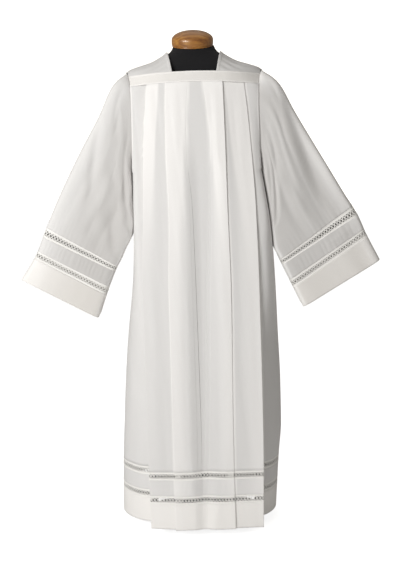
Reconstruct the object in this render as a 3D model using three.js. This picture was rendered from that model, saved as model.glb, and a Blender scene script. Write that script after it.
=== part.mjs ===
// A square-necked alb with box pleats and lace insertions, worn by a limbless dress form on its stand.
// Millimetres, +Z up. The origin is on the floor under the stand, the front faces -Y, and -X is the
// left of a person who looks at the front. Each cut piece is a closed wall of cloth, laid half its
// thickness to each side of a middle surface, and neighbours stay a seam gap apart.
import * as THREE from "three";

// ---------- driving sizes ----------

const CLOTH = 1.5; // main cloth
const LACE = 1.2; // insertion lace
const BAND = 2.4; // doubled cloth of the yoke bands
const SEAM = 0.3; // gap between sewn pieces

const HEM_Z = 30; // hem above the floor
const HEM_DEPTH = 77; // plain hem below the lower lace
const LACE_DEPTH = 24; // one insertion with its two edgings
const MID_DEPTH = 49; // plain cloth between the two laces
const SKIRT_TOP_Z = HEM_Z + HEM_DEPTH + 2 * LACE_DEPTH + MID_DEPTH;

const ARMHOLE = { top: 1417, bottom: 1119, depth: 88, power: 3.2 };
const YOKE = {
  front: { middle: 1384, end: 1373, height: 31, lowDepth: 114, topDepth: 113 },
  back: { middle: 1406, end: 1373, height: 31, lowDepth: 93, topDepth: 80 },
};
const NECK = { frontHalf: 65, shoulderHalf: 80, backHalf: 70 }; // half widths of the square opening

const ARMHOLE_GAP = SEAM + 0.2; // the sleeve's edge beyond the armhole seam

const FOLD_TURN = 4; // depth taken by one turn of a pressed fold

// ---------- tables, a row for each level, station or fold ----------

// Height, then x of the six pressed edges from left to right. Edges a, b and d face left.
const PLEAT_EDGES = table("z a b c d e f", [
  [1376, -141, -85, -20, 24, 82, 146],
  [1300, -148, -88, -28, 34, 84, 154],
  [1205, -156, -89, -30, 42, 86, 162],
  [1010, -163, -86, -24, 42, 89, 174],
  [740, -173, -93, -22, 31, 94, 180],
  [310, -172, -93, -19, 19, 91, 183],
  [30, -168, -91, -30, 3, 92, 178],
]);

// Height, y of the middle panel, how far it stands before the outer panels, how much those fall away
// towards their own edges on the left and right, and how far they stand before the sides there.
const FRONT_DEPTHS = table("z middle step fallLeft fallRight sideLeft sideRight", [
  [1376, -113, 8, 6, 6, 8, 8],
  [1300, -123, 8, 9, 9, 9, 9],
  [1205, -128, 8, 10, 10, 12, 9],
  [1010, -136, 9, 9, 6, 18, 9],
  [740, -147, 9, 8, 0, 27, 27],
  [470, -160, 9, 8, -4, 36, 50],
  [204, -177, 10, 8, -6, 44, 70],
  [30, -208, 19, 9, -8, 48, 84],
]);
const BACK_DEPTHS = table("z middle step fallLeft fallRight sideLeft sideRight", [
  [1376, -92, 8, 5, 5, 8, 8],
  [1300, -104, 8, 8, 8, 9, 9],
  [1205, -108, 8, 9, 9, 12, 12],
  [1010, -114, 9, 6, 8, 20, 18],
  [740, -127, 9, 2, 6, 34, 28],
  [470, -143, 9, -2, 5, 50, 38],
  [204, -163, 10, -4, 5, 66, 46],
  [30, -190, 17, -4, 6, 76, 52],
]);

// Height, then how far the folds under edges a, b, e and f reach, and for the middle pair c and d
// their reach (below 0 where the fold has opened), the depth of the valley, and one turn.
const FOLD_REACH = table("z outer valley valleyDepth valleyTurn", [
  [1376, 18, 15, 8, 4],
  [1300, 20, 11, 9, 3.6],
  [1205, 20, 4, 10, 3],
  [1010, 20, -8, 12, 2],
  [740, 20, -11, 13, 1.4],
  [204, 22, -13, 12, 1.2],
  [30, 24, -14, 9, 1],
]);

// Height, then how square the cloth goes round from the side seam to the first pleat (2 is an ellipse).
const SIDE_ROUNDING = table("z power", [
  [1300, 2],
  [1200, 2.4],
  [1119, 3.4],
  [1000, 3.1],
  [870, 2.5],
  [740, 2.1],
  [600, 1.8],
]);

// Height, then x of the two side seams.
const SIDE_SEAMS = table("z left right", [
  [1119, -195.3, 195.3],
  [1060, -195.8, 205],
  [946, -198, 222],
  [816, -204, 233],
  [585, -231, 244],
  [449, -243, 249],
  [312, -252, 250],
  [200, -259, 241],
  [30, -265, 230],
]);

// Height, then how far the armhole seam lies from the middle.
const ARMHOLE_WIDTH = table("z half", [
  [1119, 196],
  [1210, 191],
  [1300, 190],
  [1373, 191],
  [1402, 196],
  [1417, 205],
]);

// The shoulder ridge: distance from the middle, height.
const SHOULDER_RIDGE = table("x z", [
  [78, 1476],
  [100, 1461],
  [130, 1445],
  [165, 1434],
  [195, 1424],
  [205, 1417],
]);
const RIDGE_Y = 3;

// Sleeve stations from armhole to cuff: x and z of the upper and of the lower edge, the front and
// back bulge, and y of the middle.
const SLEEVE_COLUMNS = "topX topZ lowX lowZ front back y";
const SLEEVES = {
  left: {
    sign: -1,
    stations: [
      [-205, 1417, -196, 1119, 88, 88, 0],
      [-243, 1377, -200.2, 1050, 92, 86, 0],
      [-290, 1285, -200.8, 985, 90, 84, -2],
      [-345, 1190, -201.6, 930, 85, 80, -4],
      [-400, 1088, -219, 884, 80, 76, -6],
      [-440, 1008, -240, 850, 76, 73, -8],
      [-469, 942, -254, 826, 73, 71, -10],
      [-498, 875, -285, 756, 74, 72, -12],
      [-545, 802, -314, 676, 78, 74, -14],
    ],
  },
  right: {
    sign: 1,
    stations: [
      [205, 1417, 196, 1119, 88, 88, 0],
      [252, 1374, 211, 1050, 92, 86, 0],
      [296, 1294, 219.6, 985, 93, 84, -2],
      [351, 1200, 226.6, 925, 92, 82, -4],
      [405, 1108, 230.8, 880, 90, 80, -6],
      [450, 1032, 242, 856, 87, 78, -8],
      [484, 978, 253, 831, 84, 76, -10],
      [511, 919, 284, 765, 84, 77, -12],
      [553, 837, 317, 696, 86, 78, -14],
    ],
  },
};

// How square a sleeve's section is in its upper and its lower half (2 is an ellipse).
const SLEEVE_POWER = { upper: 4.5, lower: 4 };

// Main folds along the sleeves, on the front (face 1) or the back (face -1): how far down they start and
// end (0 armhole, 1 upper lace), how far up the section they lie at both ends (1 upper edge, -1 lower
// edge), their half widths towards the upper and the lower edge, and their depth.
const SLEEVE_FOLDS = {
  left: table("face from to upFrom upTo halfUpper halfLower depth", [
    [1, 0.08, 1.05, 0.42, 0.24, 0.14, 0.34, 11],
    [1, 0.02, 0.58, 0.1, -0.92, 0.12, 0.24, 10],
    [1, 0.2, 1.0, -0.3, -0.2, 0.12, 0.26, 8],
    [-1, 0.05, 1.0, 0.5, 0.1, 0.25, 0.16, 9],
    [-1, 0.1, 0.95, -0.2, -0.5, 0.2, 0.16, 7],
  ]),
  right: table("face from to upFrom upTo halfUpper halfLower depth", [
    [1, 0.04, 1.1, 0.99, 0.12, 0.45, 0.24, 16],
    [1, 0.08, 1.06, 0.5, -0.14, 0.12, 0.12, 6],
    [1, 0.03, 0.6, -0.1, -0.8, 0.12, 0.12, 6],
    [-1, 0.05, 1.0, 0.55, 0.1, 0.26, 0.15, 9],
    [-1, 0.1, 0.95, -0.15, -0.5, 0.2, 0.16, 7],
  ]),
};

// Dress form: height, half width, front and back depth.
const FORM_RINGS = table("z half front back", [
  [762, 164, 98, 98],
  [860, 164, 98, 98],
  [960, 154, 95, 90],
  [1040, 150, 96, 84],
  [1120, 155, 100, 84],
  [1210, 165, 104, 88],
  [1290, 176, 104, 91],
  [1350, 186, 101, 88],
  [1395, 191, 97, 81],
  [1412, 190, 93, 75],
  [1422, 184, 89, 70],
  [1432, 162, 84, 66],
  [1442, 131, 77, 63],
  [1459, 98, 64, 59],
  [1469, 78, 59, 57],
  [1480, 67, 56, 57],
  [1490, 62, 54, 56],
]);
const FORM_POWER = 2.25;
const NECK_TILT = THREE.MathUtils.degToRad(12); // the top of the neck leans forward
const NECK_TILT_FROM_Z = 1470;
const FORM_TOP_Z = 1490;
const FORM_BOTTOM_Z = 762;
const FORM_Y = 1;

const CAP = { half: 63, front: 56, side: 20, height: 48, groove: 1.2, x: -3 };
const POST_RADIUS = 14;
const BASE = { radius: 122, rim: 9, height: 16, hub: 30, hubHeight: 34 };

// ---------- reading tables ----------

function table(columns, rows) {
  const names = columns.split(" ");
  return rows.map((row) => Object.fromEntries(names.map((name, i) => [name, row[i]])));
}

// One column read at a value of the key column, along a curve that never overshoots its rows.
function read(rows, key, column, at) {
  const points = rows
    .map((row) => [row[key], row[column]])
    .sort((p, q) => p[0] - q[0]);
  const last = points.length - 1;
  if (at <= points[0][0]) return points[0][1];
  if (at >= points[last][0]) return points[last][1];
  const i = points.findIndex((p) => p[0] > at) - 1;
  const slope = (k) => (points[k + 1][1] - points[k][1]) / (points[k + 1][0] - points[k][0]);
  const tangent = (k) => {
    if (k === 0) return slope(0);
    if (k === last) return slope(last - 1);
    const [before, after] = [slope(k - 1), slope(k)];
    return before * after <= 0 ? 0 : (2 * before * after) / (before + after);
  };
  const width = points[i + 1][0] - points[i][0];
  const t = (at - points[i][0]) / width;
  return (
    points[i][1] * (1 + 2 * t) * (1 - t) ** 2 +
    points[i + 1][1] * t * t * (3 - 2 * t) +
    width * (tangent(i) * t * (1 - t) ** 2 - tangent(i + 1) * t * t * (1 - t))
  );
}

const mix = THREE.MathUtils.lerp;
const signedPower = (value, power) => Math.sign(value) * Math.abs(value) ** power;
const steps = (count) => Array.from({ length: count + 1 }, (_, i) => i / count);

// ---------- walls ----------

// A closed wall between two grids of points. Rows may close round into a tube.
function wallBetween(outer, inner, roundRows) {
  const rows = outer.length;
  const columns = outer[0].length;
  const positions = [...outer.flat(), ...inner.flat()].flatMap((p) => [p.x, p.y, p.z]);
  const faces = [];
  const quad = (a, b, c, d) => faces.push(a, b, c, a, c, d);
  const at = (layer, r, c) => layer * rows * columns + r * columns + (c % columns);
  const spans = roundRows ? columns : columns - 1;
  for (let r = 0; r < rows - 1; r++)
    for (let c = 0; c < spans; c++) {
      quad(at(0, r, c), at(0, r, c + 1), at(0, r + 1, c + 1), at(0, r + 1, c));
      quad(at(1, r, c), at(1, r + 1, c), at(1, r + 1, c + 1), at(1, r, c + 1));
    }
  for (let c = 0; c < spans; c++) {
    quad(at(0, 0, c), at(1, 0, c), at(1, 0, c + 1), at(0, 0, c + 1));
    quad(at(0, rows - 1, c + 1), at(1, rows - 1, c + 1), at(1, rows - 1, c), at(0, rows - 1, c));
  }
  if (!roundRows)
    for (let r = 0; r < rows - 1; r++) {
      quad(at(0, r, 0), at(0, r + 1, 0), at(1, r + 1, 0), at(1, r, 0));
      quad(at(0, r + 1, spans), at(0, r, spans), at(1, r, spans), at(1, r + 1, spans));
    }
  return facingOut(closed(positions, faces));
}

function closed(positions, faces) {
  const geometry = new THREE.BufferGeometry();
  geometry.setAttribute("position", new THREE.Float32BufferAttribute(positions, 3));
  geometry.setIndex(faces);
  return geometry;
}

// Turns every face round if the closed surface encloses a negative volume.
function facingOut(geometry) {
  const p = geometry.getAttribute("position");
  const index = geometry.index.array;
  const [a, b, c] = [new THREE.Vector3(), new THREE.Vector3(), new THREE.Vector3()];
  let volume = 0;
  for (let i = 0; i < index.length; i += 3) {
    a.fromBufferAttribute(p, index[i]);
    b.fromBufferAttribute(p, index[i + 1]);
    c.fromBufferAttribute(p, index[i + 2]);
    volume += a.dot(b.cross(c));
  }
  if (volume < 0)
    for (let i = 0; i < index.length; i += 3) [index[i + 1], index[i + 2]] = [index[i + 2], index[i + 1]];
  geometry.computeVertexNormals();
  return geometry;
}

// The middle surface moved out by a distance along its own normals.
function movedOut(grid, roundRows, distance) {
  const rows = grid.length;
  const columns = grid[0].length;
  const near = (c) => (roundRows ? (c + columns) % columns : THREE.MathUtils.clamp(c, 0, columns - 1));
  return grid.map((row, r) =>
    row.map((point, c) => {
      const along = row[near(c + 1)].clone().sub(row[near(c - 1)]);
      const down = grid[Math.min(r + 1, rows - 1)][c].clone().sub(grid[Math.max(r - 1, 0)][c]);
      return point.clone().addScaledVector(along.cross(down).normalize(), distance);
    }),
  );
}

// A wall along the normals. Its first and last rows are trimmed square to the axis that is named, so
// that a piece sewn on there stays a seam gap away all through the thickness.
function smoothWall(grid, roundRows, thickness, trim = {}) {
  const layers = [thickness / 2, -thickness / 2].map((distance) => {
    const layer = movedOut(grid, roundRows, distance);
    for (const [row, axis] of [[0, trim.first], [grid.length - 1, trim.last]])
      if (axis) layer[row].forEach((point, c) => (point[axis] = grid[row][c][axis]));
    if (trim.sides)
      layer.forEach((points, r) => {
        for (const c of [0, points.length - 1]) points[c][trim.sides] = grid[r][c][trim.sides];
      });
    return layer;
  });
  return wallBetween(...layers, roundRows);
}

// A pleated row moved sideways in plan only, with mitred corners, so that pressed folds stay apart.
function mitredRow(row, distance) {
  return row.map((point, i) => {
    const before = i ? point.clone().sub(row[i - 1]).setZ(0).normalize() : null;
    const after = i < row.length - 1 ? row[i + 1].clone().sub(point).setZ(0).normalize() : null;
    const a = before ?? after;
    const b = after ?? before;
    const bisector = a.clone().add(b).normalize();
    const stretch = distance / Math.max(bisector.dot(a), 0.5);
    return new THREE.Vector3(point.x + bisector.y * stretch, point.y - bisector.x * stretch, point.z);
  });
}

function pleatedWall(grid, thickness) {
  return wallBetween(
    grid.map((row) => mitredRow(row, thickness / 2)),
    grid.map((row) => mitredRow(row, -thickness / 2)),
    false,
  );
}

// ---------- armhole and yoke ----------

// Depth of the armhole before or behind the shoulder ridge, at a height.
function armholeDepth(z) {
  const middle = (ARMHOLE.top + ARMHOLE.bottom) / 2;
  const share = Math.min(1, Math.abs(z - middle) / ((ARMHOLE.top - ARMHOLE.bottom) / 2));
  return ARMHOLE.depth * (1 - share ** ARMHOLE.power) ** (1 / ARMHOLE.power);
}

const armholeHalf = (z) => read(ARMHOLE_WIDTH, "z", "half", z);

// Height of the lower edge of a yoke band at a distance x from the middle.
function yokeLowZ(face, x) {
  const { middle, end } = YOKE[face];
  return mix(middle, end, Math.min(1, Math.abs(x) / armholeHalf(end)) ** 2);
}

// A point of a yoke band: how far across it is, from -1 to 1, and how far above the band's lower edge.
function yokePoint(face, across, above) {
  const endZ = YOKE[face].end + above;
  const x = across * (armholeHalf(endZ) - SEAM);
  const { lowDepth, topDepth, height } = YOKE[face];
  const flat = mix(lowDepth, topDepth, above / height);
  const depth = mix(flat, armholeDepth(endZ), Math.abs(across) ** 3);
  return new THREE.Vector3(x, FACE_SIGN[face] * depth, yokeLowZ(face, x) + above);
}

const FACE_SIGN = { front: -1, back: 1 };

function yokeBand(face) {
  const rows = steps(2).map((up) =>
    steps(24).map((across) => yokePoint(face, across * 2 - 1, up * YOKE[face].height)),
  );
  return smoothWall(rows, false, BAND, { first: "z", last: "z", sides: "x" });
}

const SHOULDER_POWER = { neck: 1.9, armhole: 3.2 }; // how late the cloth falls from the ridge

// A shoulder piece runs from the front band over the ridge to the back band.
function shoulderPiece(sign) {
  const along = [...steps(7).map((t) => ["front", 1 - t]), ...steps(6).slice(1).map((t) => ["back", t])];
  const grid = along.map(([face, away]) =>
    steps(8).map((t) => {
      const above = YOKE[face].height + SEAM;
      const neckHalf = face === "front" ? NECK.frontHalf : NECK.backHalf;
      const end = yokePoint(face, mix(neckHalf / armholeHalf(YOKE[face].end + above), 1, t), above);
      const ridgeX = mix(NECK.shoulderHalf, armholeHalf(ARMHOLE.top) - SEAM, t);
      const ridgeZ = read(SHOULDER_RIDGE, "x", "z", ridgeX);
      return new THREE.Vector3(
        sign * mix(ridgeX, end.x, away ** 1.5),
        mix(RIDGE_Y, end.y, away),
        mix(ridgeZ, end.z, away ** mix(SHOULDER_POWER.neck, SHOULDER_POWER.armhole, t)),
      );
    }),
  );
  return smoothWall(grid, false, CLOTH, { first: "z", last: "z", sides: "x" });
}

// ---------- pleated front and back ----------

// One row of a pleated face from its left to its right seam, at a height, in plan with y before the
// middle negative. The back is the same row turned to the other side.
function pleatedRow(face, z) {
  const depths = face === "front" ? FRONT_DEPTHS : BACK_DEPTHS;
  const depth = (column) => read(depths, "z", column, z);
  const reach = (column) => read(FOLD_REACH, "z", column, z);
  const edge = Object.fromEntries([..."abcdef"].map((name) => [name, read(PLEAT_EDGES, "z", name, z)]));
  const middle = depth("middle");
  const outer = middle + depth("step");
  const outerLeft = outer + depth("fallLeft");
  const outerRight = outer + depth("fallRight");

  // A pressed fold at an edge that faces left or right: the panel turns back under itself and out again.
  const fold = (facing, x, y, step, under, turn) => {
    const inward = -facing * under;
    const points = [
      [x + inward, y + step],
      [x + inward, y + step - turn],
      [x, y + turn],
      [x, y],
    ];
    return facing < 0 ? points : points.reverse();
  };
  const valley = middle + reach("valleyDepth");
  const turn = reach("valleyTurn");
  const body = [
    ...fold(-1, edge.a, outerLeft, depth("sideLeft"), reach("outer"), FOLD_TURN),
    [mix(edge.a, edge.b, 0.5), mix(outerLeft, outer, 0.6)],
    ...fold(-1, edge.b, middle, depth("step"), reach("outer"), FOLD_TURN),
    [mix(edge.b, edge.c, 0.5), middle - 1.5],
    ...fold(1, edge.c, middle, valley - middle, reach("valley"), turn),
    [mix(edge.c, edge.d, 0.5), valley + 0.5],
    ...fold(-1, edge.d, middle, valley - middle, reach("valley"), turn),
    [mix(edge.d, edge.e, 0.5), middle - 1.5],
    ...fold(1, edge.e, middle, depth("step"), reach("outer"), FOLD_TURN),
    [mix(edge.e, edge.f, 0.5), mix(outer, outerRight, 0.4)],
    ...fold(1, edge.f, outerRight, depth("sideRight"), reach("outer"), FOLD_TURN),
  ];

  const worn = z >= ARMHOLE.bottom;
  const seamY = worn ? -armholeDepth(z) : 0;
  const clear = SEAM + CLOTH / 4;
  const power = read(SIDE_ROUNDING, "z", "power", z);
  const side = (seamX, [endX, endY]) =>
    steps(5)
      .slice(0, -1)
      .map((t) => {
        const turnAngle = (t * Math.PI) / 2;
        return [
          mix(endX, seamX, Math.cos(turnAngle) ** (2 / power)),
          mix(Math.min(seamY, -clear), endY, Math.sin(turnAngle) ** (2 / power)),
        ];
      });
  const left = worn ? -armholeHalf(z) + clear : read(SIDE_SEAMS, "z", "left", z);
  const right = worn ? armholeHalf(z) - clear : read(SIDE_SEAMS, "z", "right", z);
  return [...side(left, body[0]), ...body, ...side(right, body[body.length - 1]).reverse()];
}

// Rows of points between two heights. The top row follows the arch of the yoke band.
function pleatedGrid(face, heights) {
  const flip = face === "front" ? 1 : -1;
  const archFrom = ARMHOLE.bottom + 60;
  return heights.map((z) => {
    const row = pleatedRow(face, z).map(([x, y]) => {
      const share = Math.max(0, (z - archFrom) / (YOKE[face].end - archFrom));
      const arch = (yokeLowZ(face, x) - YOKE[face].end) * share ** 2;
      return new THREE.Vector3(x, y * flip, z + arch);
    });
    return flip > 0 ? row : row.reverse();
  });
}

const PANEL_HEIGHTS = [1300, 1215, 1165, 1138, 1124, 1119, 1060, 980, 880, 740, 585, 430, 300];

const skirtPieces = [
  { name: "hem", from: HEM_Z, depth: HEM_DEPTH, thickness: CLOTH, slot: "alb_cloth" },
  { name: "lower_lace", depth: LACE_DEPTH, thickness: LACE, slot: "lace" },
  { name: "mid_band", depth: MID_DEPTH, thickness: CLOTH, slot: "alb_cloth" },
  { name: "upper_lace", depth: LACE_DEPTH, thickness: LACE, slot: "lace" },
];

function skirtPanel(face) {
  const top = YOKE[face].end - SEAM;
  return pleatedWall(pleatedGrid(face, [top, ...PANEL_HEIGHTS, SKIRT_TOP_Z + SEAM / 2]), CLOTH);
}

// ---------- sleeves ----------

const SLEEVE_SIDES = 30;

// The sleeve's stations with their distance from the cuff along the middle line.
function sleeveStations(side) {
  const rows = table(SLEEVE_COLUMNS, SLEEVES[side].stations).reverse();
  let length = 0;
  return rows.map((row, i) => {
    const before = rows[i - 1];
    if (before)
      length += Math.hypot(
        (row.topX + row.lowX - before.topX - before.lowX) / 2,
        (row.topZ + row.lowZ - before.topZ - before.lowZ) / 2,
      );
    return { ...row, length };
  });
}

// A ring of the sleeve at a distance from the cuff, from its upper edge round by the front.
function sleeveRing(side, stations, length) {
  const get = (column) => read(stations, "length", column, length);
  const full = stations[stations.length - 1].length;
  const laceTop = HEM_DEPTH + 2 * LACE_DEPTH + MID_DEPTH;
  const down = (full - length) / (full - laceTop);
  const top = new THREE.Vector2(get("topX"), get("topZ"));
  const low = new THREE.Vector2(get("lowX"), get("lowZ"));
  const middle = top.clone().add(low).multiplyScalar(0.5);
  const atArmhole = Math.max(0, 1 - down * 3);
  return steps(SLEEVE_SIDES)
    .slice(0, -1)
    .map((t) => {
      const angle = t * 2 * Math.PI;
      const free = Math.cos(angle) > 0 ? SLEEVE_POWER.upper : SLEEVE_POWER.lower;
      const power = mix(free, ARMHOLE.power, atArmhole ** 2);
      const up = signedPower(Math.cos(angle), 2 / power);
      const out = signedPower(Math.sin(angle), 2 / power);
      const face = out > 0 ? 1 : -1;
      const bulge = (face > 0 ? get("front") : get("back")) - foldDepth(side, face, down, up);
      const onAxis = middle.clone().addScaledVector(top.clone().sub(low), up / 2);
      const armX = SLEEVES[side].sign * (armholeHalf(onAxis.y) + ARMHOLE_GAP);
      const x = mix(onAxis.x, armX, atArmhole ** 12);
      return new THREE.Vector3(x, get("y") - out * bulge, onAxis.y);
    });
}

// How deep the folds of a sleeve are at a place on it.
function foldDepth(side, face, down, up) {
  return SLEEVE_FOLDS[side].reduce((sum, fold) => {
    const along = (down - fold.from) / (fold.to - fold.from);
    if (fold.face !== face || along <= 0 || along >= 1) return sum;
    const off = up - mix(fold.upFrom, fold.upTo, along);
    const half = off > 0 ? fold.halfUpper : fold.halfLower;
    return sum + fold.depth * Math.sin(Math.PI * along) ** 0.7 * Math.exp(-((off / half) ** 2));
  }, 0);
}

function sleeveTube(side, lengths, thickness, trim) {
  const stations = sleeveStations(side);
  const grid = lengths.map((length) => sleeveRing(side, stations, length));
  if (SLEEVES[side].sign > 0) grid.forEach((ring) => ring.reverse());
  return smoothWall(grid, true, thickness, trim);
}

function sleeveMain(side) {
  const stations = sleeveStations(side);
  const full = stations[stations.length - 1].length;
  const laceTop = HEM_DEPTH + 2 * LACE_DEPTH + MID_DEPTH;
  return sleeveTube(
    side,
    [0, 0.06, 0.14, 0.25, 0.38, 0.52, 0.66, 0.8, 0.9, 1].map((t) => mix(full, laceTop + SEAM / 2, t)),
    CLOTH,
    { first: "x" },
  );
}

// ---------- dress form and stand ----------

function formBody() {
  const sides = 36;
  const ring = (z) => {
    const get = (column) => read(FORM_RINGS, "z", column, z);
    const tilt = Math.max(0, (z - NECK_TILT_FROM_Z) / (FORM_TOP_Z - NECK_TILT_FROM_Z));
    return steps(sides)
      .slice(0, -1)
      .map((t) => {
        const angle = t * 2 * Math.PI;
        const x = get("half") * signedPower(Math.cos(angle), 2 / FORM_POWER);
        const deep = signedPower(Math.sin(angle), 2 / FORM_POWER);
        const y = FORM_Y + deep * (deep > 0 ? get("back") : get("front"));
        return new THREE.Vector3(x, y, z + tilt * Math.tan(NECK_TILT) * y);
      });
  };
  const rings = FORM_RINGS.map((row) => ring(row.z));
  const positions = rings.flat().flatMap((p) => [p.x, p.y, p.z]);
  const low = positions.length / 3;
  positions.push(0, FORM_Y, FORM_BOTTOM_Z, 0, FORM_Y, FORM_TOP_Z + Math.tan(NECK_TILT) * FORM_Y);
  const faces = [];
  for (let r = 0; r < rings.length - 1; r++)
    for (let c = 0; c < sides; c++) {
      const [a, b] = [r * sides + c, r * sides + ((c + 1) % sides)];
      faces.push(a, b, b + sides, a, b + sides, a + sides);
    }
  const topRow = (rings.length - 1) * sides;
  for (let c = 0; c < sides; c++) {
    const next = (c + 1) % sides;
    faces.push(low, next, c, low + 1, topRow + c, topRow + next);
  }
  return facingOut(closed(positions, faces));
}

function turned(profile, sides) {
  const lathe = new THREE.LatheGeometry(
    profile.map(([radius, height]) => new THREE.Vector2(radius, height)),
    sides,
  );
  return lathe.rotateX(Math.PI / 2);
}

// A turned and slightly flattened wooden cap with one groove near its foot.
function neckCap() {
  const dome = steps(6)
    .slice(1)
    .map((t) => [
      CAP.half * Math.cos((t * Math.PI) / 2),
      CAP.side + (CAP.height - CAP.side) * Math.sin((t * Math.PI) / 2),
    ]);
  const foot = [
    [0, 0],
    [CAP.half - 3, 0],
    [CAP.half - 1, 3],
    [CAP.half - 1 - CAP.groove, 4.5],
    [CAP.half, 6.5],
    [CAP.half, CAP.side],
  ];
  dome[dome.length - 1][0] = 0;
  return turned([...foot, ...dome], 36).scale(1, CAP.front / CAP.half, 1);
}

function standBase() {
  return turned(
    [
      [0, 0],
      [BASE.radius, 0],
      [BASE.radius, BASE.rim],
      [BASE.radius - 4, BASE.rim + 3],
      [BASE.hub + 8, BASE.height],
      [BASE.hub, BASE.height + 5],
      [BASE.hub - 4, BASE.hubHeight],
      [0, BASE.hubHeight],
    ],
    40,
  );
}

function standPost() {
  const length = FORM_BOTTOM_Z - BASE.hubHeight - 2 * SEAM;
  return new THREE.CylinderGeometry(POST_RADIUS, POST_RADIUS, length, 20)
    .rotateX(Math.PI / 2)
    .translate(0, 0, BASE.hubHeight + SEAM + length / 2);
}

// ---------- the whole ----------

const materials = {
  alb_cloth: new THREE.MeshStandardMaterial({ color: 0xf4f2f1, roughness: 0.82, metalness: 0 }),
  lace: new THREE.MeshStandardMaterial({ color: 0xfaf8f4, roughness: 0.78, metalness: 0 }),
  form_cover: new THREE.MeshStandardMaterial({ color: 0x121212, roughness: 0.9, metalness: 0 }),
  cap_wood: new THREE.MeshStandardMaterial({ color: 0x9a5a26, roughness: 0.35, metalness: 0 }),
  stand_metal: new THREE.MeshStandardMaterial({ color: 0x2b2b2d, roughness: 0.5, metalness: 0.8 }),
};

const model = new THREE.Group();
function add(name, geometry, slot) {
  const mesh = new THREE.Mesh(geometry, materials[slot]);
  mesh.name = name;
  model.add(mesh);
  return mesh;
}

for (const face of ["front", "back"]) {
  add(`${face}_yoke_band`, yokeBand(face), "alb_cloth");
  add(`${face}_panel`, skirtPanel(face), "alb_cloth");
  let low = HEM_Z;
  for (const { name, depth, thickness, slot } of skirtPieces) {
    const heights = [low + depth - SEAM / 2, low + (low > HEM_Z ? SEAM / 2 : 0)];
    add(`${face}_${name}`, pleatedWall(pleatedGrid(face, heights), thickness), slot);
    low += depth;
  }
}

for (const side of ["left", "right"]) {
  add(`${side}_shoulder`, shoulderPiece(SLEEVES[side].sign), "alb_cloth");
  add(`${side}_sleeve`, sleeveMain(side), "alb_cloth");
  let low = 0;
  for (const { name, depth, thickness, slot } of skirtPieces) {
    const lengths = [low + depth - SEAM / 2, low + (low > 0 ? SEAM / 2 : 0)];
    const label = name === "hem" ? "cuff" : name;
    add(`${side}_sleeve_${label}`, sleeveTube(side, lengths, thickness), slot);
    low += depth;
  }
}

add("form_body", formBody(), "form_cover");
const cap = add("form_neck_cap", neckCap(), "cap_wood");
cap.position.set(CAP.x, FORM_Y, FORM_TOP_Z + SEAM + 0.2);
cap.rotation.x = NECK_TILT;
add("stand_post", standPost(), "stand_metal");
add("stand_base", standBase(), "stand_metal");

export default model;
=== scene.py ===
import bpy
import math
import numpy as np
from mathutils import Matrix, Vector


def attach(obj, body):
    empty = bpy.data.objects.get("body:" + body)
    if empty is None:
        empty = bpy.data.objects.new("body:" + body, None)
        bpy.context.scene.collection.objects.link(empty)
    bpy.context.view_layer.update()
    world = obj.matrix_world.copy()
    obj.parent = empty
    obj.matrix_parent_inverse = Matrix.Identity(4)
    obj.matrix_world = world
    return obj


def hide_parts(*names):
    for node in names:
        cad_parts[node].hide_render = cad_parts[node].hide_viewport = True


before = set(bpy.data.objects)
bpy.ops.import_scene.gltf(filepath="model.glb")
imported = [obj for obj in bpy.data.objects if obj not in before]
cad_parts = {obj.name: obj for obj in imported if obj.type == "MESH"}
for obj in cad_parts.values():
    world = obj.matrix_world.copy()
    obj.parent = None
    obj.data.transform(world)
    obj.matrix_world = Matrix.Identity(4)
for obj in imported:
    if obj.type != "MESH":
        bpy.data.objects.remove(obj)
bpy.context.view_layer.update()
print("frame loaded,", len(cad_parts), "nodes")

# All sizes are in millimetres, and become metres where a mesh is made.
# Front faces -Y, and "left" is the left of someone who looks at the front.


def tableOf(columns, rows):  # a dictionary of columns from rows of numbers
    return {name: np.array([row[i] for row in rows], float) for i, name in enumerate(columns.split())}


def curveAt(table, key, column, at):
    # Cubic through the rows. Each slope is the harmonic mean of its neighbours, so it never overshoots.
    order = np.argsort(table[key])
    k, v = table[key][order], table[column][order]
    h = np.diff(k)
    d = np.diff(v) / h
    both = d[:-1] + d[1:]
    inner = np.where(d[:-1] * d[1:] > 0, 2 * d[:-1] * d[1:] / np.where(both == 0, 1, both), 0)
    m = np.concatenate([[d[0]], inner, [d[-1]]])
    x = np.clip(np.asarray(at, float), k[0], k[-1])
    i = np.clip(np.searchsorted(k, x, side="right") - 1, 0, len(k) - 2)
    t = (x - k[i]) / h[i]
    ends = v[i] * (1 + 2 * t) * (1 - t) ** 2 + v[i + 1] * t * t * (3 - 2 * t)
    return ends + h[i] * (m[i] * t * (1 - t) ** 2 - m[i + 1] * t * t * (1 - t))


def mix(a, b, t):
    return a + (b - a) * t


def smooth(a, b, x):  # 0 below a, 1 above b, an S between
    t = np.clip((x - a) / (b - a), 0, 1)
    return t * t * (3 - 2 * t)


def signedPower(value, power):
    return np.sign(value) * np.abs(value) ** power


def wander(x, seed, step):  # slow unevenness from -1 to 1: three sines of unrelated lengths
    r = np.random.default_rng(seed)
    total = 0
    for share in (1.0, 0.53, 0.31):
        total = total + share * np.sin(2 * np.pi * (x / (step * share * r.uniform(0.8, 1.25)) + r.uniform()))
    return total / 1.84  # the sum of the shares


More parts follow.
